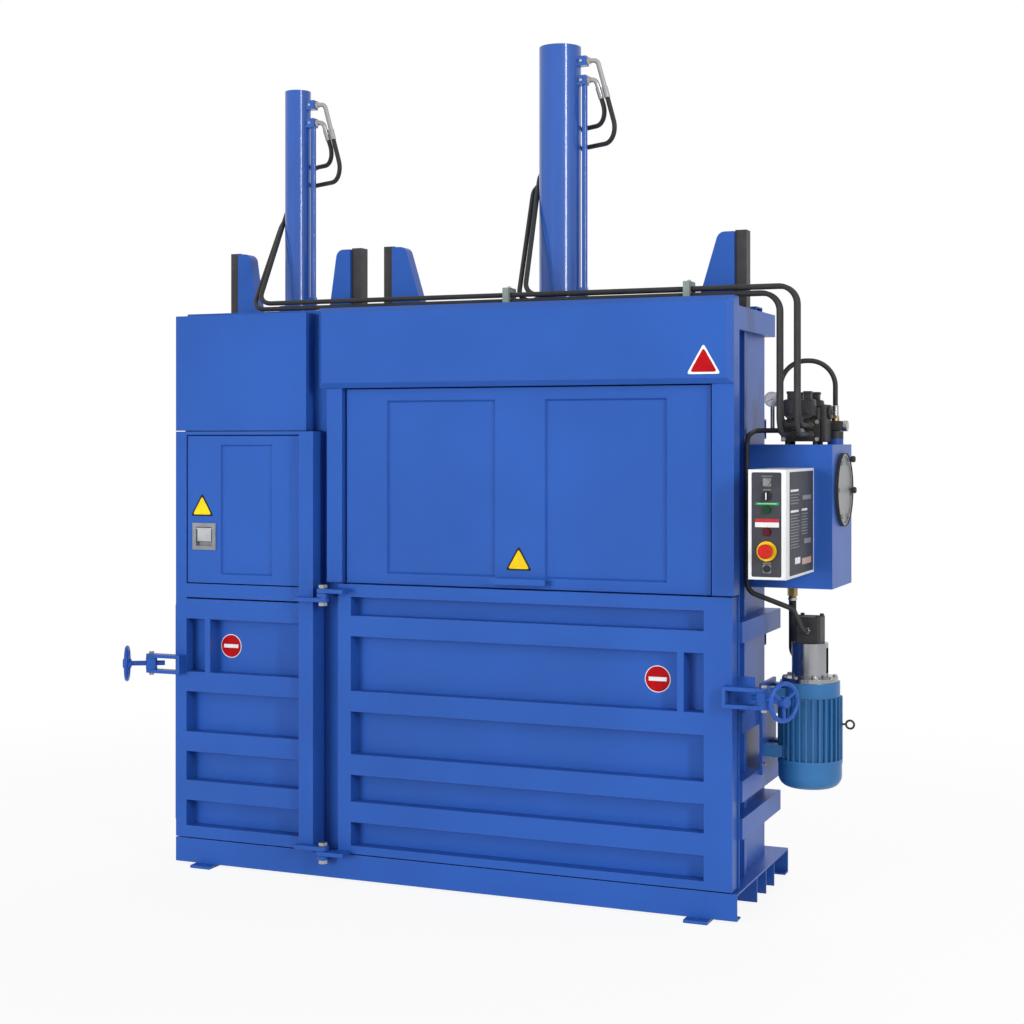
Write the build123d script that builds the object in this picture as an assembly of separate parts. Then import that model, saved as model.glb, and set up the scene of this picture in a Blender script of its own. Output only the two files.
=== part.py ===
from build123d import *
import os
from math import cos, radians, sin

os.makedirs("parts", exist_ok=True)

# Twin-chamber vertical baler, in millimetres. The origin is on the floor, at the centre of the
# four anchor holes. X runs to the machine's right, Y to its rear and Z up.

# Base and floor
base_width = 2115.0
base_depth = 692.0
base_height = 87.0
base_lip = 45.0
base_web_count = 5
foot_thickness = 10.0
foot_width = 80.0
foot_length = 150.0
foot_reach = 40.0
foot_inset = 127.5
anchor_radius = 9.0
base_rails = (-93.0, 28.0, 139.0)

# Sheets, gaps and cuts
sheet = 6.0
fold_sheet = 5.0
panel_gap = 4.0
seat_gap = 0.3
running_gap = 0.06
overrun = 5.0

# Chambers and walls
chamber_depth = 580.0
front_depth = 62.0
small_chamber_width = 570.0
divider_width = 90.0
side_rib_depth = 57.5
side_rib_height = 68.0
side_rib_lows = (894.0, 601.0, 379.0, 257.0)
wall_height = 1893.0
side_beam_height = 77.0
side_beam_depth = 38.0
side_post_front = -105.0
side_post_depth = 28.0
side_post_reach = 18.0
lock_bar_reach = 43.0
lock_bar_low = 148.0
lock_bar_high = 942.0
keeper_reach = 55.0
rear_rib_height = 70.0
rear_rib_depth = 50.0
rear_rib_count = 5

# Headers, posts and top beams
header_top = 2017.0
small_header_low = 1586.0
small_header_top = 2005.0
small_header_width = 544.0
large_header_low = 1734.0
large_header_offset = 25.5
large_header_inset = 8.5
header_proud = 25.0
header_back = 16.0
header_bevel = 18.0
post_left_width = 60.0
post_right_width = 73.0
post_left_offset = 52.0
post_right_lap = 19.5
post_low = 1052.0
groove_depth = 22.0
groove_width = 12.0
beam_height = 90.0
beam_width = 80.0
bridge_width = 50.0
bridge_height = 80.0
seat_thickness = 20.0

# Presses: bore centre, platen and guide arms
press_y = 30.0
large_press_offset = 6.75
small_press_offset = 6.5
large_barrel_radius = 75.0
small_barrel_radius = 49.0
barrel_wall = 9.0
large_barrel_top = 2950.0
small_barrel_top = 2875.0
barrel_cap = 25.0
gland_height = 55.0
barrel_collar = 22.0
large_rod_radius = 42.0
small_rod_radius = 28.0
piston_height = 60.0
piston_headroom = 10.0
side_pipe_radius = 10.0
side_pipe_offset = 18.0
port_size = 34.0
port_drop = 55.0
platen_low = 1742.0
platen_plate = 10.0
platen_gap = 8.0
platen_rib_height = 80.0
platen_rib_width = 60.0
arm_top = 2265.0
arm_depth = 50.0
arm_top_width = 55.0
large_arm_foot = 210.0
small_arm_foot = 130.0
arm_round = 30.0
strip_width = 40.0
strip_depth = 50.0
strip_set_back = 15.0
strip_rise = 5.0
strip_gap = 2.0

# Doors and ribs, by height above the floor
door_low = 101.0
door_high = 1046.0
door_left_inset = 6.5
door_right_inset = 15.5
door_rib_height = 72.0
door_rib_lows = (864.0, 600.0, 378.0, 212.0)
door_top_bar = 44.0
door_bottom_bar = 28.0
door_left_stile = 50.0
door_right_stile = 94.5
stub_rib_width = 22.0
stub_rib_inset = 199.5
small_door_lap = 12.5
small_door_high = 1583.0
small_left_rail = 45.0
small_right_rail = 57.0
rail_proud = 30.0
small_rib_lows = (900.0, 634.0, 415.0, 237.0)
small_bar_low = 978.0
small_bar_high = 1028.0
small_top_bar = 12.0
small_bottom_bar = 42.0
small_stub_inset = 124.5

# Feed flap and its latch
flap_depth = 40.0
flap_set_back = 4.0
flap_recess = 10.0
flap_recess_shares = (0.29, 0.74, 0.06, 0.94)
recess_taper = 30.0
flap_pin_radius = 4.0
flap_knuckle_radius = 8.0
flap_knuckle_height = 24.0
flap_hinge_shares = (0.15, 0.85)
latch_size = 98.0
latch_rim = 12.0
latch_proud = 5.0
latch_depth = 16.0
latch_inset = 120.5
latch_z = 1201.0
paddle_width = 58.0
paddle_height = 46.0
paddle_thickness = 6.0

# Feed gate
gate_low = 1050.0
tongue_low = 1064.0
gate_high = 1730.0
gate_set_back = 20.0
gate_depth = 36.0
gate_recess = 12.0
gate_skin = 5.0
gate_rim = 26.0
gate_side_gap = 9.0
gate_recess_shares = (0.118, 0.428, 0.565, 0.888)
gate_recess_low = 1086.0
gate_recess_high = 1690.0
tongue_thickness = 8.0
handle_width = 200.0
handle_reach = 34.0
handle_drop = 16.0

# Door hinges
pin_offset = 58.0
pin_y = -386.0
pin_radius = 10.0
pin_head_radius = 17.0
pin_head_height = 12.0
lug_radius = 22.0
lug_thickness = 14.0
lug_gap = 2.0
upper_hinge_low = 985.0
lower_hinge_low = 82.0

# Door locks
lock_height = 732.0
fork_bar = 12.0
fork_space = 44.0
fork_width = 40.0
fork_root = 40.0
fork_pivot_reach = 92.0
fork_pin_radius = 8.0
fork_pin_depth = 9.0
trunnion_size = 40.0
spindle_radius = 9.0
spindle_tail = 48.0
wheel_distance = 88.0
wheel_radius = 58.0
rim_radius = 7.5
hub_radius = 17.0
hub_length = 30.0
spoke_radius = 6.0
spoke_count = 3
wheel_turn = 60.0

# Oil tank, cabinet and controls
tank_size = (306.0, 311.0, 477.0)
tank_low = 1060.0
tank_front = -74.0
tank_sheet = 5.0
cover_radius = 122.0
cover_rim = 8.0
cover_thickness = 10.0
cover_height = 1385.0
cover_bolt_radius = 7.0
cover_bolt_count = 6
hatch_radius = 100.0
cabinet_size = (120.0, 386.0, 343.0)
cabinet_low = 1117.0
cabinet_reach = 67.0
cabinet_sheet = 4.0
button_radius = 11.0
button_depth = 16.0
button_proud = 8.0
button_gap = 0.4
estop_radius = 22.5
estop_height = 20.0
estop_stem_radius = 12.0
estop_travel = 6.0
collar_radius = 31.0
collar_height = 9.0
knob_radius = 14.0
knob_height = 14.0
knob_grip = 8.0
lamp_shares = 0.885
selector_shares = 0.76
start_shares = 0.635
stop_shares = 0.435
estop_shares = 0.26
jog_shares = 0.1

# Motor and pump, on one upright axis
motor_reach = 150.0
motor_y = 34.0
motor_radius = 95.0
motor_fin_radius = 108.0
motor_fin_count = 30
motor_fin_thickness = 5.0
shield_radius = 100.0
shield_height = 50.0
motor_low = 470.0
motor_high = 742.0
cowl_low = 387.0
cowl_radius = 106.0
cowl_round = 40.0
flange_radius = 94.0
flange_height = 14.0
bell_radius = 61.0
bell_wall = 8.0
bell_high = 871.0
bell_window = 34.0
coupling_radius = 36.0
coupling_slot = 8.0
coupling_gap = 3.0
shaft_radius = 14.0
shaft_depth = 20.0
pump_width = 86.0
pump_high = 959.0
pump_corner = 10.0
bracket_thickness = 10.0
bracket_width = 190.0
motor_foot_width = 40.0
eye_radius = 17.0
eye_bar = 3.5
eye_neck = 10.0
eye_height = 602.0

# Valve block and lines
standoff_height = 10.0
standoff_radius = 9.0
block_size = (130.0, 110.0, 74.0)
block_inset = 122.0
block_front = -22.0
solenoid_radius = 19.0
solenoid_length = 52.0
valve_size = (44.0, 100.0, 40.0)
gauge_radius = 26.0
gauge_thickness = 26.0
gauge_reach = 43.0
gauge_rise = 106.0
gauge_stem = 7.0
filter_radius = 27.0
filter_height = 90.0
filter_inset = 31.0
filter_y = 120.0
return_apex = 1822.0
return_bend = 88.0
return_reach = 24.0
return_y = 70.0
hose_radius = 8.5
hose_bend = 60.0
line_rows = (-234.0, -208.0)
line_heights = (2030.0, 2051.0)
line_ports = (1570.0, 1600.0)
drop_insets = (45.0, 102.0)
clamp_width = 22.0
clamp_margin = 14.0
clamp_offsets = (-103.0, 542.0)
suction_radius = 13.0
suction_bend = 42.0
suction_reach = 90.0
suction_low = 796.0
fitting_length = 46.0
pressure_drop = 20.0
pressure_inset = 30.0
pressure_low = 1050.0
pressure_elbow = (35.0, 52.0, 75.0)
elbow_bend = 20.0
elbow_reaches = (38.0, 32.0)
loop_reaches = (119.0, 72.0)
loop_drops = (291.0, 154.0)
loop_shifts = (0.0, 24.0)
hose_behind = 52.0
side_reaches = (40.0, 16.0)
side_drops = (445.0, 327.0)
side_depth = 30.0
foot_reaches = (10.0, 34.0)

# Lines worked out from the sizes above
half_width = base_width / 2
front = -base_depth / 2
deck = foot_thickness + base_height
wall_front = front + front_depth
wall_rear = front + chamber_depth
wall_top = deck + wall_height
small_left = -half_width + sheet
small_right = small_left + small_chamber_width
large_left = small_right + divider_width
large_right = half_width - side_rib_depth - sheet
tank_left = large_right + sheet
tank_top = tank_low + tank_size[2]
post_left = small_right + post_left_offset
post_right = large_right - post_right_lap
large_header_left = small_right + large_header_offset
large_header_right = half_width - large_header_inset
large_press_x = (large_left + large_right) / 2 + large_press_offset
small_press_x = (small_left + small_right) / 2 + small_press_offset
door_left = large_left + door_left_inset
door_right = half_width - door_right_inset
small_door_right = small_right + small_door_lap
latch_x = -half_width + latch_inset
pin_x = small_right + pin_offset
motor_x = half_width + motor_reach
cabinet_left = half_width + cabinet_reach
cabinet_x = cabinet_left + cabinet_size[0] / 2
cabinet_front = tank_front - cabinet_size[1]
block_left = tank_left + block_inset
block_low = tank_top + standoff_height
block_top = block_low + block_size[2]
block_rear = block_front + block_size[1]
filter_x = tank_left + tank_size[0] - filter_inset


def block(x, y, z):
    """A box between three pairs of limits."""
    size = [limits[1] - limits[0] for limits in (x, y, z)]
    centre = [(limits[0] + limits[1]) / 2 for limits in (x, y, z)]
    return Pos(*centre) * Box(*size)


def bar(start, along, length, radius):
    """A round bar from a point, along a direction."""
    return Plane(origin=start, z_dir=along) * (Pos(0, 0, length / 2) * Cylinder(radius, length))


def hexagon_bar(start, along, length, radius):
    """A hexagonal head or nut from a point, along a direction."""
    return extrude(Plane(origin=start, z_dir=along) * RegularPolygon(radius, 6), length)


def hose(points, radius, bend):
    """A round hose along straight runs joined by tangent arcs."""
    path = FilletPolyline(*points, radius=bend)
    return sweep(Plane(origin=path @ 0, z_dir=path % 0) * Circle(radius), path=path)


def hollow_panel(outers, cores):
    """Folded channels: outer boxes joined, less the boxes that run inside them."""
    panel = outers[0]
    for outer in outers[1:]:
        panel += outer
    for core in cores:
        panel -= core
    return panel


def make_base_frame():
    """Folded floor with returned lips, open-ended rails, cross webs and the lower fixed hinge lug."""
    x = (-half_width, half_width)
    y = (front, -front)
    frame = block(x, y, (foot_thickness, deck))
    inner_y = (front + sheet, -front - sheet)
    frame -= block((x[0] - overrun, x[1] + overrun), inner_y, (foot_thickness + sheet, deck - sheet))
    slot_y = (front + base_lip, -front - base_lip)
    frame -= block((x[0] - overrun, x[1] + overrun), slot_y, (foot_thickness - overrun, deck - sheet))
    pitch = base_width / base_web_count
    for index in range(base_web_count):
        left = -half_width + pitch / 2 + index * pitch
        frame += block((left, left + sheet), y, (foot_thickness, deck))
    for rail in base_rails:
        frame += block(x, (rail, rail + sheet), (foot_thickness, deck))
    return frame + hinge_lug(lower_hinge_low, (pin_y, front), pin_radius)


def hinge_lug(low, y, bore_radius):
    """A fixed lug that reaches forward from the frame and takes a hinge pin."""
    z = (low, low + lug_thickness)
    lug = block((pin_x - lug_radius, pin_x + lug_radius), y, z)
    lug += bar((pin_x, pin_y, low), (0, 0, 1), lug_thickness, lug_radius)
    return lug - bar((pin_x, pin_y, low - overrun), (0, 0, 1), lug_thickness + 2 * overrun, bore_radius)


def make_foot_plates():
    """Four flat feet, each with an anchor hole in front of or behind the base."""
    feet = []
    hole_length = foot_thickness + 2 * overrun
    for side in (-1, 1):
        for end in (-1, 1):
            centre = side * (half_width - foot_inset)
            outer = -front + foot_reach
            y = sorted((end * outer, end * (outer - foot_length)))
            foot = block((centre - foot_width / 2, centre + foot_width / 2), y, (0, foot_thickness))
            hole_y = end * (-front + foot_reach / 2)
            feet.append(foot - bar((centre, hole_y, -overrun), (0, 0, 1), hole_length, anchor_radius))
    return Compound(feet)


def make_left_wall():
    """Flat side skin of the small chamber with a front flange and the lock bar beside it."""
    wall = block((-half_width, small_left), (wall_front, wall_rear), (deck, wall_top))
    bar_x = (-half_width - lock_bar_reach, -half_width)
    return wall + block(bar_x, (wall_front, wall_front + sheet), (lock_bar_low, lock_bar_high))


def make_right_wall():
    """Side skin of the large chamber with hollow ribs, an upright, a top beam, a flange and a keeper."""
    skin_x = (large_right, tank_left)
    flange_x = (post_right, post_right + post_right_width)
    flange_y = (wall_front, wall_front + sheet)
    rib_y = (flange_y[1], wall_rear)
    keeper_z = (lock_height - keeper_reach, lock_height + keeper_reach)
    upright_x = (tank_left, tank_left + side_post_reach)
    upright_y = (side_post_front, side_post_front + side_post_depth)
    outers = [
        block(skin_x, (wall_front, wall_rear), (deck, wall_top)),
        block(flange_x, flange_y, (deck, wall_top)),
        block((tank_left, half_width + lock_bar_reach), flange_y, keeper_z),
        block(upright_x, upright_y, (deck, wall_top - side_beam_height)),
    ]
    cores = []
    for low in side_rib_lows:
        outers.append(block((tank_left, half_width), rib_y, (low, low + side_rib_height)))
        core_z = (low + fold_sheet, low + side_rib_height - fold_sheet)
        core_y = (rib_y[0] + fold_sheet, rib_y[1] + overrun)
        cores.append(block((tank_left, half_width - fold_sheet), core_y, core_z))
    beam_x = (tank_left, tank_left + side_beam_depth)
    outers.append(block(beam_x, rib_y, (wall_top - side_beam_height, wall_top)))
    core_z = (wall_top - side_beam_height + fold_sheet, wall_top - fold_sheet)
    core_y = (rib_y[0] + fold_sheet, rib_y[1] + overrun)
    cores.append(block((beam_x[0], beam_x[1] - fold_sheet), core_y, core_z))
    return hollow_panel(outers, cores)


def make_divider_wall():
    """Two skins between the chambers, joined by a front flange that carries the upper hinge lug."""
    skin_y = (wall_front, wall_rear)
    wall = block((small_right, small_right + sheet), skin_y, (deck, wall_top))
    wall += block((large_left - sheet, large_left), skin_y, (deck, wall_top))
    flange_x = (small_right, post_left + post_left_width)
    flange_y = (wall_front, wall_front + sheet)
    wall += block(flange_x, flange_y, (deck, wall_top))
    infill_left = -half_width + small_header_width - 2 * fold_sheet
    wall += block((infill_left, small_right), flange_y, (small_header_low, wall_top))
    fixed_low = upper_hinge_low + lug_thickness + lug_gap
    return wall + hinge_lug(fixed_low, (pin_y, wall_front), pin_radius)


def make_rear_wall(left, right):
    """Back skin with hollow horizontal ribs outside."""
    inner = wall_rear - sheet
    outers = [block((left, right), (inner, wall_rear), (deck, wall_top))]
    cores = []
    pitch = (wall_height - rear_rib_height) / rear_rib_count
    for index in range(rear_rib_count):
        low = deck + (index + 1) * pitch
        z = (low, low + rear_rib_height)
        outers.append(block((left, right), (wall_rear, wall_rear + rear_rib_depth), z))
        core_x = (left - overrun, right + overrun)
        core_y = (wall_rear, wall_rear + rear_rib_depth - fold_sheet)
        cores.append(block(core_x, core_y, (low + fold_sheet, z[1] - fold_sheet)))
    return hollow_panel(outers, cores)


def make_small_header():
    """Deep folded box above the small door, open at its back."""
    x = (-half_width, -half_width + small_header_width)
    z = (small_header_low, small_header_top)
    box = block(x, (front, wall_front), z)
    core_x = (x[0] + fold_sheet, x[1] - fold_sheet)
    core_z = (z[0] + fold_sheet, z[1] - fold_sheet)
    return box - block(core_x, (front + fold_sheet, wall_front + overrun), core_z)


def make_large_header():
    """Shallow folded box over the gate, its front edges bevelled, open at its back."""
    x = (large_header_left, large_header_right)
    y = (front - header_proud, front + header_back)
    z = (large_header_low, header_top)
    box = block(x, y, z)
    front_edges = box.faces().sort_by(Axis.Y)[0].edges()
    box = chamfer(front_edges, header_bevel)
    core_x = (x[0] + header_bevel, x[1] - header_bevel)
    core_z = (z[0] + header_bevel, z[1] - header_bevel)
    return box - block(core_x, (y[0] + fold_sheet, y[1] + overrun), core_z)


def make_gate_posts():
    """Two upright posts with grooves for the gate, stepped back behind the header."""
    header_rear = front + header_back
    groove_y = gate_middle()
    posts = []
    for x, inner in (
        ((post_left, post_left + post_left_width), post_left + post_left_width),
        ((post_right, post_right + post_right_width), post_right),
    ):
        post = block(x, (front, wall_front), (post_low, large_header_low))
        post += block(x, (header_rear, wall_front), (large_header_low, header_top))
        groove_x = (inner - groove_depth, inner + groove_depth)
        groove_limits = (groove_y - groove_width / 2, groove_y + groove_width / 2)
        groove_z = (tongue_low - seat_gap, header_top + overrun)
        posts.append(post - block(groove_x, groove_limits, groove_z))
    return Compound(posts)


def gate_middle():
    """The Y of the gate's mid plane, which its side tongues and the grooves share."""
    return front + gate_set_back + gate_depth / 2


def make_top_beams(left, right):
    """Front and rear box beams between a chamber's walls."""
    beams = []
    for beam_front in (wall_front + sheet, wall_rear - sheet - beam_width):
        y = (beam_front, beam_front + beam_width)
        beam = block((left, right), y, (header_top - beam_height, header_top))
        core_y = (y[0] + fold_sheet, y[1] - fold_sheet)
        core_z = (header_top - beam_height + fold_sheet, header_top - fold_sheet)
        beams.append(beam - block((left - overrun, right + overrun), core_y, core_z))
    return Compound(beams)


def make_cylinder_bridges():
    """Per press: two fore-and-aft channels between the top beams, under a bored seat plate."""
    bridges = []
    y = (wall_front + sheet + beam_width, wall_rear - sheet - beam_width)
    for centre, radius, rod_radius in (
        (large_press_x, large_barrel_radius, large_rod_radius),
        (small_press_x, small_barrel_radius, small_rod_radius),
    ):
        outer = radius + barrel_collar
        plate_x = (centre - outer - bridge_width, centre + outer + bridge_width)
        plate_y = (press_y - outer - fold_sheet, press_y + outer + fold_sheet)
        plate = block(plate_x, plate_y, (header_top, header_top + seat_thickness))
        hole_start = (centre, press_y, header_top - overrun)
        plate -= bar(hole_start, (0, 0, 1), seat_thickness + 2 * overrun, rod_radius + fold_sheet)
        for x in ((plate_x[0], plate_x[0] + bridge_width), (plate_x[1] - bridge_width, plate_x[1])):
            channel = block(x, y, (header_top - bridge_height, header_top))
            core_x = (x[0] + fold_sheet, x[1] - fold_sheet)
            core_z = (header_top - bridge_height - overrun, header_top - fold_sheet)
            plate += channel - block(core_x, (y[0] - overrun, y[1] + overrun), core_z)
        bridges.append(plate)
    return Compound(bridges)


def make_barrel(centre, radius, rod_radius, top):
    """Bored hydraulic barrel with a collar, gland, cap, side pipe and two port bosses."""
    low = header_top + seat_thickness
    up = (0, 0, 1)
    barrel = bar((centre, press_y, low), up, top - low, radius)
    barrel += bar((centre, press_y, low), up, barrel_collar, radius + barrel_collar)
    bore_low = low + gland_height
    barrel -= bar((centre, press_y, bore_low), up, top - barrel_cap - bore_low, radius - barrel_wall)
    barrel -= bar((centre, press_y, low - overrun), up, gland_height + 2 * overrun, rod_radius + running_gap)
    pipe_x = centre + radius + side_pipe_offset
    upper_port = top - port_drop
    lower_port = upper_port - 2 * port_size
    for port in (upper_port, lower_port):
        reach = (centre + radius - barrel_wall / 2, pipe_x + side_pipe_radius)
        half = port_size / 2
        barrel += block(reach, (press_y - half, press_y + half), (port - half, port + half))
    foot = low + barrel_collar + port_size / 2
    barrel += block(
        (centre + radius - barrel_wall / 2, pipe_x + side_pipe_radius),
        (press_y - side_pipe_radius, press_y + side_pipe_radius),
        (foot - port_size / 2, foot + port_size / 2),
    )
    return barrel + bar((pipe_x, press_y, foot), up, lower_port - foot, side_pipe_radius)


def make_rod(centre, radius, rod_radius, top):
    """Piston rod that stands on the platen, with its piston inside the barrel."""
    low = platen_low + platen_plate + platen_rib_height
    piston_high = top - barrel_cap - piston_headroom
    rod = bar((centre, press_y, low), (0, 0, 1), piston_high - low, rod_radius)
    piston_radius = radius - barrel_wall - running_gap
    return rod + bar((centre, press_y, piston_high - piston_height), (0, 0, 1), piston_height, piston_radius)


def guide_arm(outer, side, foot):
    """Folded gusset that rises from the platen, with a sloped inner edge and a rounded top."""
    low = platen_low + platen_plate
    inner_top = outer - side * arm_top_width
    inner_low = outer - side * foot
    outline = Polyline((outer, low), (outer, arm_top), (inner_top, arm_top), (inner_low, low), close=True)
    plane = Plane(origin=(0, press_y - arm_depth / 2, 0), x_dir=(1, 0, 0), z_dir=(0, -1, 0))
    face = make_face(outline)
    corner = [v for v in face.vertices() if abs(v.X - inner_top) < sheet and v.Y > arm_top - sheet]
    face = fillet(corner, arm_round)
    arm = extrude(plane * face, -arm_depth)
    core = extrude(plane.offset(-sheet) * offset(face, -sheet), -arm_depth)
    return arm - core


def make_platen(left, right, centre, arm_foot):
    """Pressing plate with two long hollow ribs, a rod seat and a guide arm at each end."""
    x = (left + platen_gap, right - platen_gap)
    y = (wall_front + sheet + platen_gap, wall_rear - sheet - platen_gap)
    top = platen_low + platen_plate
    platen = block(x, y, (platen_low, top))
    rib_x = (x[0] + arm_foot + strip_width, x[1] - arm_foot - strip_width)
    reach = beam_width
    core_x = (rib_x[0] - overrun, rib_x[1] + overrun)
    for rib_front in (y[0] + reach, y[1] - reach - platen_rib_width):
        rib_y = (rib_front, rib_front + platen_rib_width)
        rib = block(rib_x, rib_y, (top, top + platen_rib_height))
        core_y = (rib_y[0] + fold_sheet, rib_y[1] - fold_sheet)
        platen += rib - block(core_x, core_y, (top, top + platen_rib_height - fold_sheet))
    half = platen_rib_width
    seat_y = (y[0] + reach + platen_rib_width, y[1] - reach - platen_rib_width)
    platen += block((centre - half, centre + half), seat_y, (top, top + platen_rib_height))
    platen += guide_arm(left + strip_gap + strip_width, -1, arm_foot)
    return platen + guide_arm(right - strip_gap - strip_width, 1, arm_foot)


def make_wear_strips(left, right):
    """Two dark sliding strips on the outer edges of a platen's guide arms."""
    low = platen_low + platen_plate
    strip_front = press_y - arm_depth / 2 + strip_set_back
    y = (strip_front, strip_front + strip_depth)
    z = (low, arm_top + strip_rise)
    strips = []
    for x in (
        (left + strip_gap, left + strip_gap + strip_width),
        (right - strip_gap - strip_width, right - strip_gap),
    ):
        strips.append(block(x, y, z))
    return Compound(strips)


def ribbed_door(x, z, left_stile, right_stile, bars, right_proud):
    """Flat skin with hollow stiles and cross bars welded on its front."""
    rear = wall_front - seat_gap - fold_sheet / 2
    outers = [block(x, (rear - sheet, rear), z)]
    cores = []
    core_rear = rear - sheet
    left_x = (x[0], x[0] + left_stile)
    right_x = (x[1] - right_stile, x[1])
    for stile_x, y_front in ((left_x, front), (right_x, front - right_proud)):
        outers.append(block(stile_x, (y_front, rear), z))
        core_x = (stile_x[0] + fold_sheet, stile_x[1] - fold_sheet)
        cores.append(block(core_x, (y_front + fold_sheet, core_rear), (z[0] - overrun, z[1] + overrun)))
    bar_x = (x[0] + left_stile / 2, x[1] - right_stile / 2)
    for low, high in bars:
        outers.append(block(bar_x, (front, rear), (low, high)))
        core_z = (low + fold_sheet, high - fold_sheet)
        cores.append(block(bar_x, (front + fold_sheet, core_rear), core_z))
    return hollow_panel(outers, cores)


def stub_rib(left, low, high):
    """Short upright rib between two cross bars."""
    rear = wall_front - seat_gap - fold_sheet / 2
    return block((left, left + stub_rib_width), (front, rear - sheet), (low, high))


def moving_lug(low, x):
    """A door's hinge lug: an arm along X to the pin, with a running bore."""
    z = (low, low + lug_thickness)
    lug = block(x, (pin_y - lug_radius, pin_y + lug_radius), z)
    lug += bar((pin_x, pin_y, low), (0, 0, 1), lug_thickness, lug_radius)
    bore_length = lug_thickness + 2 * overrun
    bore = bar((pin_x, pin_y, low - overrun), (0, 0, 1), bore_length, pin_radius + running_gap)
    return lug, bore


def make_large_door():
    """Lower door of the large chamber, hinged at its left on the shared pins."""
    z = (door_low, door_high)
    bars = [(low, low + door_rib_height) for low in door_rib_lows]
    bars += [(door_high - door_top_bar, door_high), (door_low, door_low + door_bottom_bar)]
    door = ribbed_door((door_left, door_right), z, door_left_stile, door_right_stile, bars, 0)
    stub_left = half_width - stub_rib_inset
    door += stub_rib(stub_left, door_rib_lows[1] + door_rib_height, door_rib_lows[0])
    pitch = lug_thickness + lug_gap
    for low in (upper_hinge_low + 2 * pitch, lower_hinge_low + pitch):
        lug, bore = moving_lug(low, (pin_x, door_left + door_left_stile))
        foot_x = (door_left, door_left + door_left_stile)
        lug += block(foot_x, (pin_y - lug_radius, front), (low, low + lug_thickness))
        door += lug - bore
    return door


def make_small_door():
    """Full-height door of the small chamber: ribbed below, open above for the feed flap."""
    x = (-half_width, small_door_right)
    z = (door_low, small_door_high)
    bars = [(low, low + door_rib_height) for low in small_rib_lows]
    bars += [
        (small_bar_low, small_bar_high),
        (door_low, door_low + small_bottom_bar),
        (small_door_high - small_top_bar, small_door_high),
    ]
    door = ribbed_door(x, z, small_left_rail, small_right_rail, bars, rail_proud)
    opening_x, opening_z = flap_opening()
    door -= block(opening_x, (front - rail_proud - overrun, wall_front + overrun), opening_z)
    stub_left = -half_width + small_stub_inset
    door += stub_rib(stub_left, small_rib_lows[1] + door_rib_height, small_rib_lows[0])
    pitch = lug_thickness + lug_gap
    for low in (upper_hinge_low, lower_hinge_low + 2 * pitch):
        lug, bore = moving_lug(low, (small_door_right - small_right_rail, pin_x))
        door += lug - bore
    for low in flap_knuckle_lows():
        for knuckle_low in (low - flap_knuckle_height, low + flap_knuckle_height):
            door += flap_knuckle(knuckle_low, True)
        door += flap_pin(low)
    return door


def flap_opening():
    """Limits in X and Z of the feed opening in the small door."""
    return (
        (-half_width + small_left_rail, small_door_right - small_right_rail),
        (small_bar_high, small_door_high - small_top_bar),
    )


def flap_hinge_axis():
    """X and Y of the feed flap's upright hinge."""
    return flap_opening()[0][1] - panel_gap - flap_knuckle_radius, front - flap_knuckle_radius


def flap_knuckle_lows():
    """Lower ends of the flap's own knuckles."""
    low, high = flap_opening()[1]
    return [low + share * (high - low) for share in flap_hinge_shares]


def flap_knuckle(low, on_door):
    """One hinge knuckle with the leaf that joins it to the door's rail or to the flap."""
    x, y = flap_hinge_axis()
    height = flap_knuckle_height - seat_gap
    knuckle = bar((x, y, low), (0, 0, 1), height, flap_knuckle_radius)
    reach = flap_opening()[0][1] + fold_sheet / 2 if on_door else x - 2 * flap_knuckle_radius
    leaf_y = (y, y + flap_knuckle_radius / 2) if on_door else (y, front + flap_set_back + fold_sheet)
    return knuckle + block(sorted((x, reach)), leaf_y, (low, low + height))


def flap_pin(low):
    """The pin through three knuckles, fast in the outer two."""
    x, y = flap_hinge_axis()
    length = 3 * flap_knuckle_height - seat_gap
    return bar((x, y, low - flap_knuckle_height), (0, 0, 1), length, flap_pin_radius)


def make_feed_flap():
    """Folded flap that closes the feed opening, with a shallow tapered recess."""
    opening_x, opening_z = flap_opening()
    x = (opening_x[0] + panel_gap, opening_x[1] - panel_gap)
    z = (opening_z[0] + panel_gap, opening_z[1] - panel_gap)
    y = (front + flap_set_back, front + flap_set_back + flap_depth)
    flap = block(x, y, z)
    flap -= panel_recess(x, z, flap_recess_shares, y[0], flap_recess)
    core_y = (y[0] + flap_recess + fold_sheet, y[1] + overrun)
    rim = fold_sheet
    flap -= block((x[0] + rim, x[1] - rim), core_y, (z[0] + rim, z[1] - rim))
    half = latch_size / 2 - latch_rim
    latch_limits = (latch_z - half, latch_z + half)
    flap -= block((latch_x - half, latch_x + half), (y[0] - overrun, y[1]), latch_limits)
    axis_x, axis_y = flap_hinge_axis()
    for low in flap_knuckle_lows():
        knuckle = flap_knuckle(low, False)
        bore_start = (axis_x, axis_y, low - overrun)
        bore_length = flap_knuckle_height + 2 * overrun
        flap += knuckle - bar(bore_start, (0, 0, 1), bore_length, flap_pin_radius + running_gap)
    return flap


def panel_recess(x, z, shares, face_y, depth):
    """A tapered recess in a panel's front, placed by shares of the panel's width and height."""
    left = x[0] + shares[0] * (x[1] - x[0])
    right = x[0] + shares[1] * (x[1] - x[0])
    low = z[0] + shares[2] * (z[1] - z[0])
    high = z[0] + shares[3] * (z[1] - z[0])
    centre = ((left + right) / 2, face_y, (low + high) / 2)
    plane = Plane(origin=centre, x_dir=(1, 0, 0), z_dir=(0, 1, 0))
    return extrude(plane * Rectangle(right - left, high - low), depth, taper=recess_taper)


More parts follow.
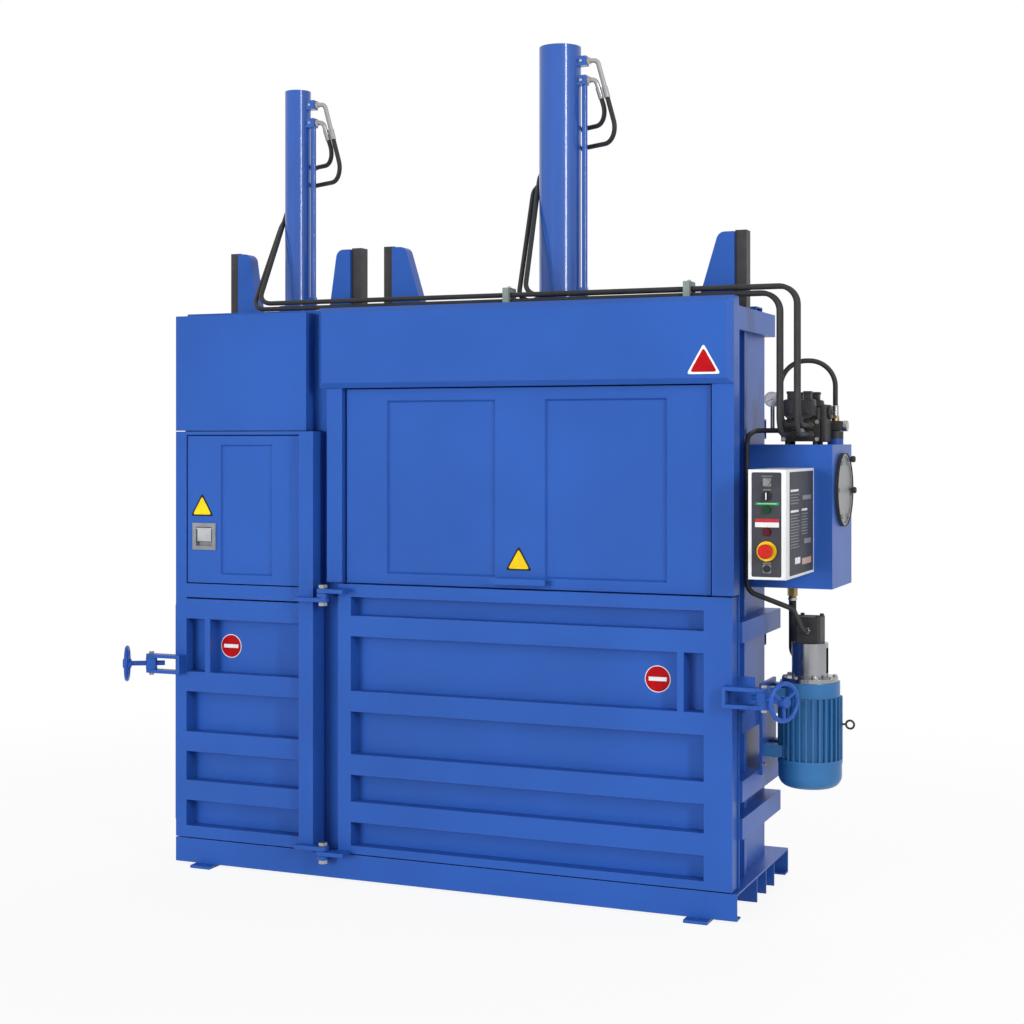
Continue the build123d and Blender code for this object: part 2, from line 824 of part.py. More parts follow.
def make_latch_housing():
    """Square flush housing in the flap, open at the front for the paddle."""
    half = latch_size / 2
    face_y = front + flap_set_back
    hollow = half - latch_rim
    inner = hollow - fold_sheet / 2
    rim_z = (latch_z - half, latch_z + half)
    rim = block((latch_x - half, latch_x + half), (face_y - latch_proud, face_y), rim_z)
    sides = (latch_x - hollow + seat_gap, latch_x + hollow - seat_gap)
    heights = (latch_z - hollow + seat_gap, latch_z + hollow - seat_gap)
    rim += block(sides, (face_y, face_y + latch_depth), heights)
    pocket_y = (face_y - latch_proud - overrun, face_y + latch_depth - fold_sheet / 2)
    return rim - block((latch_x - inner, latch_x + inner), pocket_y, (latch_z - inner, latch_z + inner))


def make_latch_paddle():
    """Paddle that hangs in the housing from its upper edge and pulls out at the bottom."""
    face_y = front + flap_set_back
    half = paddle_width / 2
    top = latch_z + latch_size / 2 - latch_rim - fold_sheet / 2 - paddle_thickness
    plate_y = (face_y - latch_proud / 2, face_y - latch_proud / 2 + paddle_thickness)
    paddle = block((latch_x - half, latch_x + half), plate_y, (top - paddle_height, top))
    axle_y = plate_y[0] + paddle_thickness / 2
    axle_reach = latch_size / 2 - latch_rim - fold_sheet / 2 - seat_gap
    paddle += bar((latch_x - axle_reach, axle_y, top), (1, 0, 0), 2 * axle_reach, paddle_thickness / 2)
    return paddle


def make_feed_gate():
    """Sliding gate: two tapered recesses, side tongues in the posts and a bent handle below."""
    x = (post_left + post_left_width + gate_side_gap, post_right - gate_side_gap)
    y = (front + gate_set_back, front + gate_set_back + gate_depth)
    z = (gate_low, gate_high)
    gate = block(x, y, z)
    low_share = (gate_recess_low - z[0]) / (z[1] - z[0])
    high_share = (gate_recess_high - z[0]) / (z[1] - z[0])
    for left_share, right_share in (gate_recess_shares[:2], gate_recess_shares[2:]):
        gate -= panel_recess(x, z, (left_share, right_share, low_share, high_share), y[0], gate_recess)
    core_y = (y[0] + gate_recess + gate_skin, y[1] + overrun)
    gate -= block((x[0] + gate_rim, x[1] - gate_rim), core_y, (z[0] + gate_rim, z[1] - gate_rim))
    middle = gate_middle()
    tongue_y = (middle - tongue_thickness / 2, middle + tongue_thickness / 2)
    reach = gate_side_gap + groove_depth - panel_gap
    gate += block((x[0] - reach, x[1] + reach), tongue_y, (tongue_low, z[1])) - block(x, tongue_y, z)
    handle_x = ((x[0] + x[1] - handle_width) / 2, (x[0] + x[1] + handle_width) / 2)
    plate_z = (tongue_low, tongue_low + fold_sheet)
    gate += block(handle_x, (y[0] - handle_reach, y[0]), plate_z)
    lip_y = (y[0] - handle_reach, y[0] - handle_reach + fold_sheet)
    return gate + block(handle_x, lip_y, (tongue_low, plate_z[1] + handle_drop))


def make_hinge_pins():
    """Two hinge bolts: the upper and lower pins that both doors share."""
    pins = []
    height = 3 * lug_thickness + 2 * lug_gap
    for low in (upper_hinge_low, lower_hinge_low):
        nut_low = low - lug_gap - pin_head_height
        head_low = low + height + lug_gap
        pin = bar((pin_x, pin_y, nut_low), (0, 0, 1), head_low - nut_low, pin_radius)
        pin += hexagon_bar((pin_x, pin_y, nut_low), (0, 0, 1), pin_head_height, pin_head_radius)
        pins.append(pin + hexagon_bar((pin_x, pin_y, head_low), (0, 0, 1), pin_head_height, pin_head_radius))
    return Compound(pins)


def lock_pivot(side):
    """Where a lock's trunnion swings, beside a door's free edge."""
    return side * (half_width + fork_pivot_reach), front - fork_width / 2


def make_lock_fork(side):
    """Two flat bars on a door's stile, with a stub pin in each for the trunnion."""
    x, y = lock_pivot(side)
    root = side * (half_width - fork_root)
    fork_y = (front - fork_width, front)
    parts = []
    for up in (-1, 1):
        inner = lock_height + up * fork_space / 2
        outer = inner + up * fork_bar
        z = sorted((inner, outer))
        arm = block(sorted((root, x)), fork_y, z)
        arm += bar((x, y, z[0]), (0, 0, 1), fork_bar, fork_width / 2)
        pin_length = fork_bar + fork_pin_depth
        arm += bar((x, y, outer), (0, 0, -up), pin_length, fork_pin_radius)
        arm += hexagon_bar((x, y, outer), (0, 0, up), fork_pin_depth, pin_radius + seat_gap)
        parts.append(arm)
    web_z = (lock_height - fork_space / 2, lock_height + fork_space / 2)
    return parts[0] + parts[1] + block(sorted((root, root + side * fork_bar)), fork_y, web_z)


def wheel_axis(side):
    """Direction of a lock spindle, from the trunnion out to its handwheel."""
    return side * sin(radians(wheel_turn)), -cos(radians(wheel_turn)), 0


def make_trunnion(side):
    """Swinging nut block between a fork's bars."""
    x, y = lock_pivot(side)
    along = wheel_axis(side)
    height = fork_space - 2 * seat_gap
    plane = Plane(origin=(x, y, lock_height), x_dir=along, z_dir=(0, 0, 1))
    cube = Box(trunnion_size, trunnion_size, height)
    nut = plane * fillet(cube.edges().filter_by(Axis.Z), trunnion_size / 4)
    for up in (-1, 1):
        start = (x, y, lock_height + up * (fork_space / 2 + overrun))
        nut -= bar(start, (0, 0, -up), fork_pin_depth + overrun + seat_gap, fork_pin_radius + running_gap)
    start = tuple(place - trunnion_size * part for place, part in zip((x, y, lock_height), along))
    return nut - bar(start, along, 2 * trunnion_size, spindle_radius + running_gap)


def make_handwheel(side):
    """Spindle with a hub, three spokes and a round rim."""
    x, y = lock_pivot(side)
    along = wheel_axis(side)
    centre = tuple(place + wheel_distance * part for place, part in zip((x, y, lock_height), along))
    tail = tuple(place - spindle_tail * part for place, part in zip((x, y, lock_height), along))
    wheel = bar(tail, along, spindle_tail + wheel_distance, spindle_radius)
    hub_start = tuple(place - hub_length / 2 * part for place, part in zip(centre, along))
    wheel += bar(hub_start, along, hub_length, hub_radius)
    plane = Plane(origin=centre, x_dir=(0, 0, 1), z_dir=along)
    wheel += plane * Torus(wheel_radius, rim_radius)
    for index in range(spoke_count):
        angle = radians(360 * (index + 0.5) / spoke_count)
        outward = plane.x_dir * cos(angle) + plane.y_dir * sin(angle)
        wheel += bar(centre, tuple(outward), wheel_radius, spoke_radius)
    return wheel


def make_oil_tank():
    """Folded tank on the side wall, with a round hatch hole in its right face."""
    x = (tank_left, tank_left + tank_size[0])
    y = (tank_front, tank_front + tank_size[1])
    z = (tank_low, tank_top)
    inner = [(limits[0] + tank_sheet, limits[1] - tank_sheet) for limits in (x, y, z)]
    tank = block(x, y, z) - block(*inner)
    hatch = bar((x[1] - 2 * tank_sheet, sum(y) / 2, cover_height), (1, 0, 0), 3 * tank_sheet, hatch_radius)
    return tank - hatch


def make_tank_cover():
    """Round inspection cover with a raised rim and a ring of bolts."""
    start = tank_left + tank_size[0]
    y = tank_front + tank_size[1] / 2
    cover = bar((start, y, cover_height), (1, 0, 0), cover_thickness, cover_radius)
    face = (start + cover_thickness / 2, y, cover_height)
    cover -= bar(face, (1, 0, 0), cover_thickness, cover_radius - cover_rim)
    ring = cover_radius - 2 * cover_rim - cover_bolt_radius / 2
    for index in range(cover_bolt_count):
        angle = radians(360 * index / cover_bolt_count)
        place = (start + cover_thickness / 2, y + ring * cos(angle), cover_height + ring * sin(angle))
        cover += hexagon_bar(place, (1, 0, 0), cover_thickness, cover_bolt_radius)
    return cover


def control_places():
    """Height of each control on the cabinet's front, by name."""
    shares = {
        "lamp": lamp_shares,
        "selector": selector_shares,
        "start": start_shares,
        "stop": stop_shares,
        "estop": estop_shares,
        "jog": jog_shares,
    }
    return {name: cabinet_low + share * cabinet_size[2] for name, share in shares.items()}


def make_control_cabinet():
    """Cabinet on the tank's front, open at its right, with bored control holes in its front."""
    x = (cabinet_left, cabinet_left + cabinet_size[0] - cabinet_sheet)
    y = (cabinet_front, tank_front)
    z = (cabinet_low, cabinet_low + cabinet_size[2])
    inner_x = (x[0] + cabinet_sheet, x[1] + overrun)
    inner_z = (z[0] + cabinet_sheet, z[1] - cabinet_sheet)
    box = block(x, y, z) - block(inner_x, (y[0] + cabinet_sheet, y[1] - cabinet_sheet), inner_z)
    for name, height in control_places().items():
        radius = estop_stem_radius if name == "estop" else button_radius
        start = (cabinet_x, cabinet_front - overrun, height)
        box -= bar(start, (0, 1, 0), cabinet_sheet + 2 * overrun, radius + button_gap)
    return box


def make_cabinet_cover():
    """Flat cover plate on the cabinet's right side."""
    x = cabinet_left + cabinet_size[0]
    z = (cabinet_low, cabinet_low + cabinet_size[2])
    return block((x - cabinet_sheet, x), (cabinet_front, tank_front), z)


def make_button(name):
    """Flat round pushbutton whose stem passes through the cabinet's front."""
    start = (cabinet_x, cabinet_front - button_proud, control_places()[name])
    return bar(start, (0, 1, 0), button_proud + button_depth, button_radius)


def make_estop_collar():
    """Round collar on the cabinet's front, under the emergency stop."""
    start = (cabinet_x, cabinet_front - collar_height, control_places()["estop"])
    collar = bar(start, (0, 1, 0), collar_height, collar_radius)
    return collar - bar(start, (0, 1, 0), collar_height, estop_stem_radius + button_gap)


def make_estop_button():
    """Mushroom button on a stem, with room to push in."""
    height = control_places()["estop"]
    under = cabinet_front - collar_height - estop_travel - button_gap
    head = bar((cabinet_x, under - estop_height, height), (0, 1, 0), estop_height, estop_radius)
    head = fillet(head.faces().sort_by(Axis.Y)[0].edges(), estop_height / 3)
    stem_length = button_depth + collar_height
    return head + bar((cabinet_x, under, height), (0, 1, 0), stem_length, estop_stem_radius)


def make_selector_knob():
    """Selector with a raised grip across its face."""
    height = control_places()["selector"]
    disc = knob_height / 2
    knob = bar((cabinet_x, cabinet_front - disc, height), (0, 1, 0), disc - seat_gap, knob_radius)
    knob += bar((cabinet_x, cabinet_front - seat_gap, height), (0, 1, 0), button_depth, button_radius)
    grip_x = (cabinet_x - knob_grip / 2, cabinet_x + knob_grip / 2)
    grip_y = (cabinet_front - knob_height, cabinet_front - disc)
    return knob + block(grip_x, grip_y, (height - knob_radius, height + knob_radius))


def make_motor_body():
    """Finned motor with a plain shield at its top, four side feet and a lifting eye."""
    up = (0, 0, 1)
    body = bar((motor_x, motor_y, motor_low), up, motor_high - motor_low, motor_radius)
    fin_low = motor_low + flange_height
    fin_high = motor_high - shield_height
    fin = Box(2 * motor_fin_radius, motor_fin_thickness, fin_high - fin_low)
    middle = (fin_low + fin_high) / 2
    for index in range(motor_fin_count // 2):
        body += Pos(motor_x, motor_y, middle) * Rot(0, 0, 360 * index / motor_fin_count) * fin
    body += bar((motor_x, motor_y, motor_low), up, flange_height, motor_fin_radius)
    body += bar((motor_x, motor_y, fin_high), up, shield_height, shield_radius)
    bore_start = (motor_x, motor_y, motor_high - shaft_depth)
    body -= bar(bore_start, up, shaft_depth + overrun, shaft_radius + running_gap)
    foot_x = (half_width + bracket_thickness, motor_x)
    half = bracket_width / 2 - motor_foot_width / 2
    for low in (motor_low, motor_high - 2 * motor_foot_width):
        for end in (-1, 1):
            y = sorted((motor_y + end * half, motor_y + end * (half - motor_foot_width)))
            foot_low = low + motor_foot_width / 2
            foot = block(foot_x, y, (foot_low, foot_low + motor_foot_width))
            body += foot - bar((motor_x, motor_y, low), up, 2 * motor_foot_width, motor_radius - sheet)
    eye_x = motor_x + motor_fin_radius + eye_neck
    neck_length = eye_radius + eye_neck + eye_bar
    body += bar((eye_x + eye_bar - neck_length, motor_y, eye_height), (1, 0, 0), neck_length, eye_bar)
    eye = Plane(origin=(eye_x + eye_radius, motor_y, eye_height), x_dir=(1, 0, 0), z_dir=(0, 1, 0))
    return body + eye * Torus(eye_radius - eye_bar, eye_bar)


def make_motor_cowl():
    """Domed fan cowl under the motor."""
    cowl = bar((motor_x, motor_y, cowl_low), (0, 0, 1), motor_low - cowl_low, cowl_radius)
    return fillet(cowl.faces().sort_by(Axis.Z)[0].edges(), cowl_round)


def make_motor_bracket():
    """Plate between the side ribs and the motor's feet."""
    x = (half_width, half_width + bracket_thickness)
    y = (motor_y - bracket_width / 2, motor_y + bracket_width / 2)
    return block(x, y, (motor_low - motor_foot_width, motor_high - sheet))


def make_bell_housing():
    """Turned bell between motor and pump, with a window on its right."""
    up = (0, 0, 1)
    bell = bar((motor_x, motor_y, motor_high), up, bell_high - motor_high, bell_radius)
    bell += bar((motor_x, motor_y, motor_high), up, flange_height, flange_radius)
    bore_high = bell_high - bell_wall
    bore_low = motor_high - overrun
    bell -= bar((motor_x, motor_y, bore_low), up, bore_high - bore_low, bell_radius - bell_wall)
    bell -= bar((motor_x, motor_y, motor_high), up, bell_high, shaft_radius + running_gap)
    half = bell_window / 2
    window_z = (motor_high + 2 * flange_height, bore_high - bell_wall)
    return bell - block((motor_x, motor_x + flange_radius), (motor_y - half, motor_y + half), window_z)


def make_pump_coupling():
    """Motor shaft with a slotted coupling inside the bell."""
    up = (0, 0, 1)
    low = motor_high + coupling_gap
    high = bell_high - bell_wall - coupling_gap
    coupling = bar((motor_x, motor_y, low), up, high - low, coupling_radius)
    slot_low = (low + high - coupling_slot) / 2
    slot = bar((motor_x, motor_y, slot_low), up, coupling_slot, coupling_radius + overrun)
    coupling -= slot - bar((motor_x, motor_y, low), up, high - low, coupling_radius - coupling_slot)
    shaft_low = motor_high - shaft_depth + seat_gap
    return coupling + bar((motor_x, motor_y, shaft_low), up, bell_high - shaft_low - seat_gap, shaft_radius)


def make_pump_block():
    """Gear pump body on the bell, its upright corners rounded, with four cap screws."""
    half = pump_width / 2
    pump = block((motor_x - half, motor_x + half), (motor_y - half, motor_y + half), (bell_high, pump_high))
    pump = fillet(pump.edges().filter_by(Axis.Z), pump_corner)
    inset = half - pump_corner
    for side in (-1, 1):
        for end in (-1, 1):
            place = (motor_x + side * inset, motor_y + end * inset, pump_high)
            pump += hexagon_bar(place, (0, 0, 1), cover_bolt_radius, cover_bolt_radius)
    return pump


def make_valve_block():
    """Manifold on short standoffs over the tank, with two valves on its top."""
    x = (block_left, block_left + block_size[0])
    manifold = block(x, (block_front, block_rear), (block_low, block_top))
    for leg_x in (x[0] + 2 * standoff_radius, x[1] - 2 * standoff_radius):
        for leg_y in (block_front + 2 * standoff_radius, block_rear - 2 * standoff_radius):
            manifold += bar((leg_x, leg_y, tank_top), (0, 0, 1), standoff_height, standoff_radius)
    return manifold


def valve_places():
    """Left edges of the two directional valves on the manifold."""
    spare = (block_size[0] - 2 * valve_size[0]) / 3
    return [block_left + spare, block_left + 2 * spare + valve_size[0]]


def make_solenoids():
    """Two directional valves, each with a round coil at the front and rear."""
    valves = []
    middle = block_front + block_size[1] / 2
    y = (middle - valve_size[1] / 2 + solenoid_radius, middle + valve_size[1] / 2 - solenoid_radius)
    for left in valve_places():
        valve = block((left, left + valve_size[0]), y, (block_top, block_top + valve_size[2]))
        coil_x = left + valve_size[0] / 2
        coil_z = block_top + valve_size[2] / 2
        coil_length = y[1] - y[0] + 2 * solenoid_length
        valve += bar((coil_x, y[0] - solenoid_length, coil_z), (0, 1, 0), coil_length, solenoid_radius)
        plug = solenoid_radius / 2
        plug_x = (coil_x - plug, coil_x + plug)
        for start in (y[0] - solenoid_length + plug, y[1] + plug):
            valve += block(plug_x, (start, start + 2 * plug), (coil_z, coil_z + 2 * solenoid_radius))
        valves.append(valve)
    return Compound(valves)


def make_pressure_gauge():
    """Round gauge on a bent stem at the manifold's left."""
    y = block_front + block_size[1] / 2
    z = block_low + block_size[2] / 2
    x = block_left - gauge_reach
    stem = bar((block_left, y, z), (-1, 0, 0), gauge_reach, gauge_stem)
    stem += bar((x, y, z - gauge_stem), (0, 0, 1), gauge_rise, gauge_stem)
    dial_start = (x, y - gauge_thickness / 2, z + gauge_rise)
    return stem + bar(dial_start, (0, 1, 0), gauge_thickness, gauge_radius)


def make_return_filter():
    """Return filter head on the tank with a stepped cap and a hose tail."""
    up = (0, 0, 1)
    filter_head = bar((filter_x, filter_y, tank_top), up, filter_height / 2, filter_radius)
    filter_head += bar((filter_x, filter_y, tank_top), up, filter_height, filter_radius / 2)
    return filter_head


def make_return_hose():
    """Hose that leaves the manifold's left, arches over and comes down on the filter."""
    height = block_low + block_size[2] / 2
    turn = block_left - return_reach
    points = [
        (block_left, return_y, height),
        (turn, return_y, height),
        (turn, return_y, return_apex),
        (filter_x, filter_y, return_apex),
        (filter_x, filter_y, tank_top + filter_height),
    ]
    return hose(points, hose_radius, (elbow_bend, return_bend, return_bend))


def make_suction_hose():
    """Wide hose from under the tank, down behind the bell and up to the pump's rear face."""
    half = pump_width / 2
    start_x = motor_x - suction_reach
    rear = motor_y + half + 2 * suction_bend
    middle = (bell_high + pump_high) / 2
    points = [
        (start_x, rear, tank_low),
        (start_x, rear, suction_low),
        (motor_x, rear, suction_low),
        (motor_x, rear, middle),
        (motor_x, motor_y + half, middle),
    ]
    line = hose(points, suction_radius, suction_bend - seat_gap)
    nut_radius = suction_radius + standoff_height / 2
    return line + hexagon_bar((start_x, rear, tank_low), (0, 0, -1), fitting_length, nut_radius)


def make_pressure_hose():
    """Hose from the pump's front face, up in front of the tank, to the manifold's left end."""
    middle = (bell_high + pump_high) / 2
    pump_front = motor_y - pump_width / 2
    elbow_x = motor_x - pressure_elbow[0]
    turn = tank_left + pressure_inset
    y_front = tank_front - fitting_length
    port_y = block_front + fitting_length / 2
    high = block_low + block_size[2] / 2
    points = [
        (motor_x, pump_front, middle),
        (motor_x, pump_front - pressure_elbow[1], middle),
        (elbow_x, pump_front - pressure_elbow[1], middle + pressure_elbow[2]),
        (turn, y_front, pressure_low),
        (turn, y_front, high - pressure_drop),
        (block_left - 2 * fitting_length, port_y, high),
        (block_left, port_y, high),
    ]
    return hose(points, hose_radius, (elbow_bend, elbow_bend, fitting_length, fitting_length, elbow_bend))


def press_line(centre, radius, top, index, row, port_height):
    """One hose: from a barrel's port, behind the barrel, along the header and down to the manifold."""
    port = top - port_drop - 2 * port_size * index
    start_x = centre + radius + side_pipe_offset + side_pipe_radius
    low = port - loop_drops[index]
    height = line_heights[index]
    drop = block_left + drop_insets[index]
    points = [
        (start_x, press_y, port),
        (start_x + elbow_reaches[index], press_y, port),
        (start_x + loop_reaches[index], press_y + loop_shifts[index], low),
        (centre, press_y + radius + hose_behind, low),
        (centre - radius - side_reaches[index], press_y + side_depth, port - side_drops[index]),
        (centre - radius + foot_reaches[index], row, height),
        (drop, row, height),
        (drop, row, port_height),
        (drop, block_front, port_height),
    ]
    return hose(points, hose_radius, (elbow_bend,) + (hose_bend,) * (len(points) - 3))


def make_press_hoses():
    """Four lines between the two barrels and the manifold."""
    lines = []
    presses = (
        (small_press_x, small_barrel_radius, small_barrel_top, line_rows[0], line_ports[0]),
        (large_press_x, large_barrel_radius, large_barrel_top, line_rows[1], line_ports[1]),
    )
    for centre, radius, top, row, port_height in presses:
        for index in range(len(line_heights)):
            lines.append(press_line(centre, radius, top, index, row, port_height))
    return Compound(lines)


def make_pipe_clamps():
    """Clamp blocks on the front top beam, bored for the four lines."""
    clamps = []
    reach = hose_radius + clamp_margin
    y = (min(line_rows) - reach, max(line_rows) + reach)
    bore_length = clamp_width + 2 * overrun
    for offset_x in clamp_offsets:
        left = large_press_x + offset_x
        clamp = block((left, left + clamp_width), y, (header_top, line_heights[1] + reach))
        for row in line_rows:
            for height in line_heights:
                bore_start = (left - overrun, row, height)
                clamp -= bar(bore_start, (1, 0, 0), bore_length, hose_radius + seat_gap)
        clamps.append(clamp)
    return Compound(clamps)


nodes = {
    "base_frame": make_base_frame(),
    "foot_plates": make_foot_plates(),
    "left_wall": make_left_wall(),
    "divider_wall": make_divider_wall(),
    "right_wall": make_right_wall(),
    "rear_wall_small": make_rear_wall(small_left, small_right),
    "rear_wall_large": make_rear_wall(large_left, large_right),
    "small_header": make_small_header(),
    "large_header": make_large_header(),
    "gate_posts": make_gate_posts(),
    "small_top_beams": make_top_beams(small_left, small_right),
    "large_top_beams": make_top_beams(large_left, large_right),
    "cylinder_bridges": make_cylinder_bridges(),
    "hinge_pins": make_hinge_pins(),
    "large_barrel": make_barrel(large_press_x, large_barrel_radius, large_rod_radius, large_barrel_top),
    "small_barrel": make_barrel(small_press_x, small_barrel_radius, small_rod_radius, small_barrel_top),
    "press_hoses": make_press_hoses(),
    "pipe_clamps": make_pipe_clamps(),
    "oil_tank": make_oil_tank(),
    "tank_cover": make_tank_cover(),
    "return_filter": make_return_filter(),
    "return_hose": make_return_hose(),
    "valve_block": make_valve_block(),
    "solenoids": make_solenoids(),
    "pressure_gauge": make_pressure_gauge(),
    "control_cabinet": make_control_cabinet(),
    "cabinet_cover": make_cabinet_cover(),
    "pilot_lamp": make_button("lamp"),
    "estop_collar": make_estop_collar(),
    "motor_body": make_motor_body(),
    "motor_cowl": make_motor_cowl(),
    "motor_bracket": make_motor_bracket(),
    "bell_housing": make_bell_housing(),
    "pump_block": make_pump_block(),
    "suction_hose": make_suction_hose(),
    "pressure_hose": make_pressure_hose(),
    "pump_coupling": make_pump_coupling(),
    "small_door": make_small_door(),
    "small_lock_fork": make_lock_fork(-1),
    "feed_flap": make_feed_flap(),
    "latch_housing": make_latch_housing(),
    "latch_paddle": make_latch_paddle(),
    "large_door": make_large_door(),
    "large_lock_fork": make_lock_fork(1),
    "small_trunnion": make_trunnion(-1),
    "large_trunnion": make_trunnion(1),
    "small_handwheel": make_handwheel(-1),
    "large_handwheel": make_handwheel(1),
    "feed_gate": make_feed_gate(),
    "large_platen": make_platen(large_left, large_right, large_press_x, large_arm_foot),
    "large_wear_strips": make_wear_strips(large_left, large_right),
    "large_rod": make_rod(large_press_x, large_barrel_radius, large_rod_radius, large_barrel_top),
    "small_platen": make_platen(small_left, small_right, small_press_x, small_arm_foot),
    "small_wear_strips": make_wear_strips(small_left, small_right),
    "small_rod": make_rod(small_press_x, small_barrel_radius, small_rod_radius, small_barrel_top),
    "estop_button": make_estop_button(),
    "start_button": make_button("start"),
    "stop_button": make_button("stop"),
    "jog_button": make_button("jog"),
    "selector_knob": make_selector_knob(),
}

for name, shape in nodes.items():
    export_step(shape, f"parts/{name}.step")
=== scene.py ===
"""Looks of a twin-chamber vertical baler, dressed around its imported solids. Sizes are in metres."""

import logging
import math
from dataclasses import dataclass, field
from enum import Enum
from typing import Any, Sequence

import bmesh
import bpy
from mathutils import Matrix, Vector

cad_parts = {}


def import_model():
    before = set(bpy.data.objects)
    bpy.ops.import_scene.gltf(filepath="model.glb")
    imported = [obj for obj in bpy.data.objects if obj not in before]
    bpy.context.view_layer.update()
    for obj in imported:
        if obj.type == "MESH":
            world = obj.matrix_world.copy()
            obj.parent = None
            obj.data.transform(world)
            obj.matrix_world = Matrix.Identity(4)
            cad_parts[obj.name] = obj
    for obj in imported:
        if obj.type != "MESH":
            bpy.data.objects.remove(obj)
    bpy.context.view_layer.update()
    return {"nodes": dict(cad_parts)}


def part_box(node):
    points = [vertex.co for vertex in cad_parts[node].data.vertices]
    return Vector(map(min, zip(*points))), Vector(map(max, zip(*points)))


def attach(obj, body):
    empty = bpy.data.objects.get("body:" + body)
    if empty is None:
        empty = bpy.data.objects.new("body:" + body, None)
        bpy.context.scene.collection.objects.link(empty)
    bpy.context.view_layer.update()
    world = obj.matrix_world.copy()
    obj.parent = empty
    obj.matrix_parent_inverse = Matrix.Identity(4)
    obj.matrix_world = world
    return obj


Triple = tuple[float, float, float]
Pair = tuple[float, float]
Colour = Triple
Place = Sequence[float]
Profile = Sequence[Pair]

LOG = logging.getLogger("baler")
MM = 0.001
SHARP_ANGLE = 32.0
HEX_SIDES = 6
NOISE_MEAN = 0.5
DOOR_SKIN_Y = -0.2928
HALF_VALVE = 23.0 * MM
WHITE_LIGHT = (1.0, 1.0, 1.0, 1.0)


class Body(Enum):
    """Bodies of the frame that new pieces ride on."""

    FRAME = "frame"
    SMALL_DOOR = "small_door"
    LARGE_DOOR = "large_door"
    FEED_FLAP = "feed_flap"
    FEED_GATE = "feed_gate"
    SELECTOR = "selector"


class Axis(Enum):
    """Row axes as directions."""

    RIGHT = (1.0, 0.0, 0.0)
    LEFT = (-1.0, 0.0, 0.0)
    REAR = (0.0, 1.0, 0.0)
    FRONT = (0.0, -1.0, 0.0)
    UP = (0.0, 0.0, 1.0)

    def vector(self) -> Vector:
        """The direction as a vector."""
        return Vector(self.value)


@dataclass(frozen=True)
class Box:
    """A node's limits at rest."""

    low: Vector
    high: Vector

    @classmethod
    def of(cls, node: str) -> "Box":
        """Limits of a CAD node, by its name."""
        low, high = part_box(node)
        return cls(low, high)

    def at(self, x: float, y: float, z: float) -> Vector:
        """A place by shares of the box.

        Args:
            x: share from left to right.
            y: share from front to rear.
            z: share from bottom to top.

        Returns:
            The place.
        """
        shares = (x, y, z)
        return Vector([low + share * (high - low) for low, high, share in zip(self.low, self.high, shares)])

    def middle(self) -> Vector:
        """The middle of the box."""
        return self.at(0.5, 0.5, 0.5)


class Value:
    """A shader socket that adds Math nodes when it is used in an expression."""

    def __init__(self, tree: "Tree", socket: bpy.types.NodeSocket) -> None:
        """Wraps a socket of a tree."""
        self.tree = tree
        self.socket = socket

    def _math(self, operation: str, first: Any, second: Any) -> "Value":
        """Adds one Math node, by its operation and two numbers or values."""
        node = self.tree.node("ShaderNodeMath", {"operation": operation}, {0: first, 1: second})
        return Value(self.tree, node.outputs[0])

    def __add__(self, other: Any) -> "Value":
        """Sum."""
        return self._math("ADD", self, other)

    def __radd__(self, other: Any) -> "Value":
        """Sum, with the number first."""
        return self._math("ADD", other, self)

    def __sub__(self, other: Any) -> "Value":
        """Difference."""
        return self._math("SUBTRACT", self, other)

    def __rsub__(self, other: Any) -> "Value":
        """Difference, with the number first."""
        return self._math("SUBTRACT", other, self)

    def __mul__(self, other: Any) -> "Value":
        """Product."""
        return self._math("MULTIPLY", self, other)

    def __rmul__(self, other: Any) -> "Value":
        """Product, with the number first."""
        return self._math("MULTIPLY", other, self)

    def __pow__(self, other: Any) -> "Value":
        """Power."""
        return self._math("POWER", self, other)

    def __lt__(self, other: Any) -> "Value":
        """One where the value is lower, else zero."""
        return self._math("LESS_THAN", self, other)

    def __gt__(self, other: Any) -> "Value":
        """One where the value is higher, else zero."""
        return self._math("GREATER_THAN", self, other)

    def ramp(self, low: float, high: float) -> "Value":
        """A smooth step from zero to one.

        Args:
            low: value that gives zero.
            high: value that gives one.

        Returns:
            The step as a value.
        """
        settings = {"interpolation_type": "SMOOTHSTEP"}
        sockets = {"Value": self, "From Min": low, "From Max": high}
        return Value(self.tree, self.tree.node("ShaderNodeMapRange", settings, sockets).outputs[0])


class Tree:
    """A node tree that every node is added to by one method."""

    def __init__(self, tree: bpy.types.NodeTree) -> None:
        """Starts from an empty tree."""
        self.tree = tree
        self.tree.nodes.clear()

    def node(
        self, kind: str, settings: dict[str, Any] | None = None, sockets: dict[Any, Any] | None = None
    ) -> bpy.types.Node:
        """Adds a node.

        Args:
            kind: the node's type.
            settings: attributes that are set first.
            sockets: numbers, values or output sockets, by input name or index.

        Returns:
            The new node.
        """
        node = self.tree.nodes.new(kind)
        for name, setting in (settings or {}).items():
            setattr(node, name, setting)
        for key, given in (sockets or {}).items():
            source = given.socket if isinstance(given, Value) else given
            if isinstance(source, bpy.types.NodeSocket):
                self.tree.links.new(source, node.inputs[key])
            else:
                node.inputs[key].default_value = source
        return node


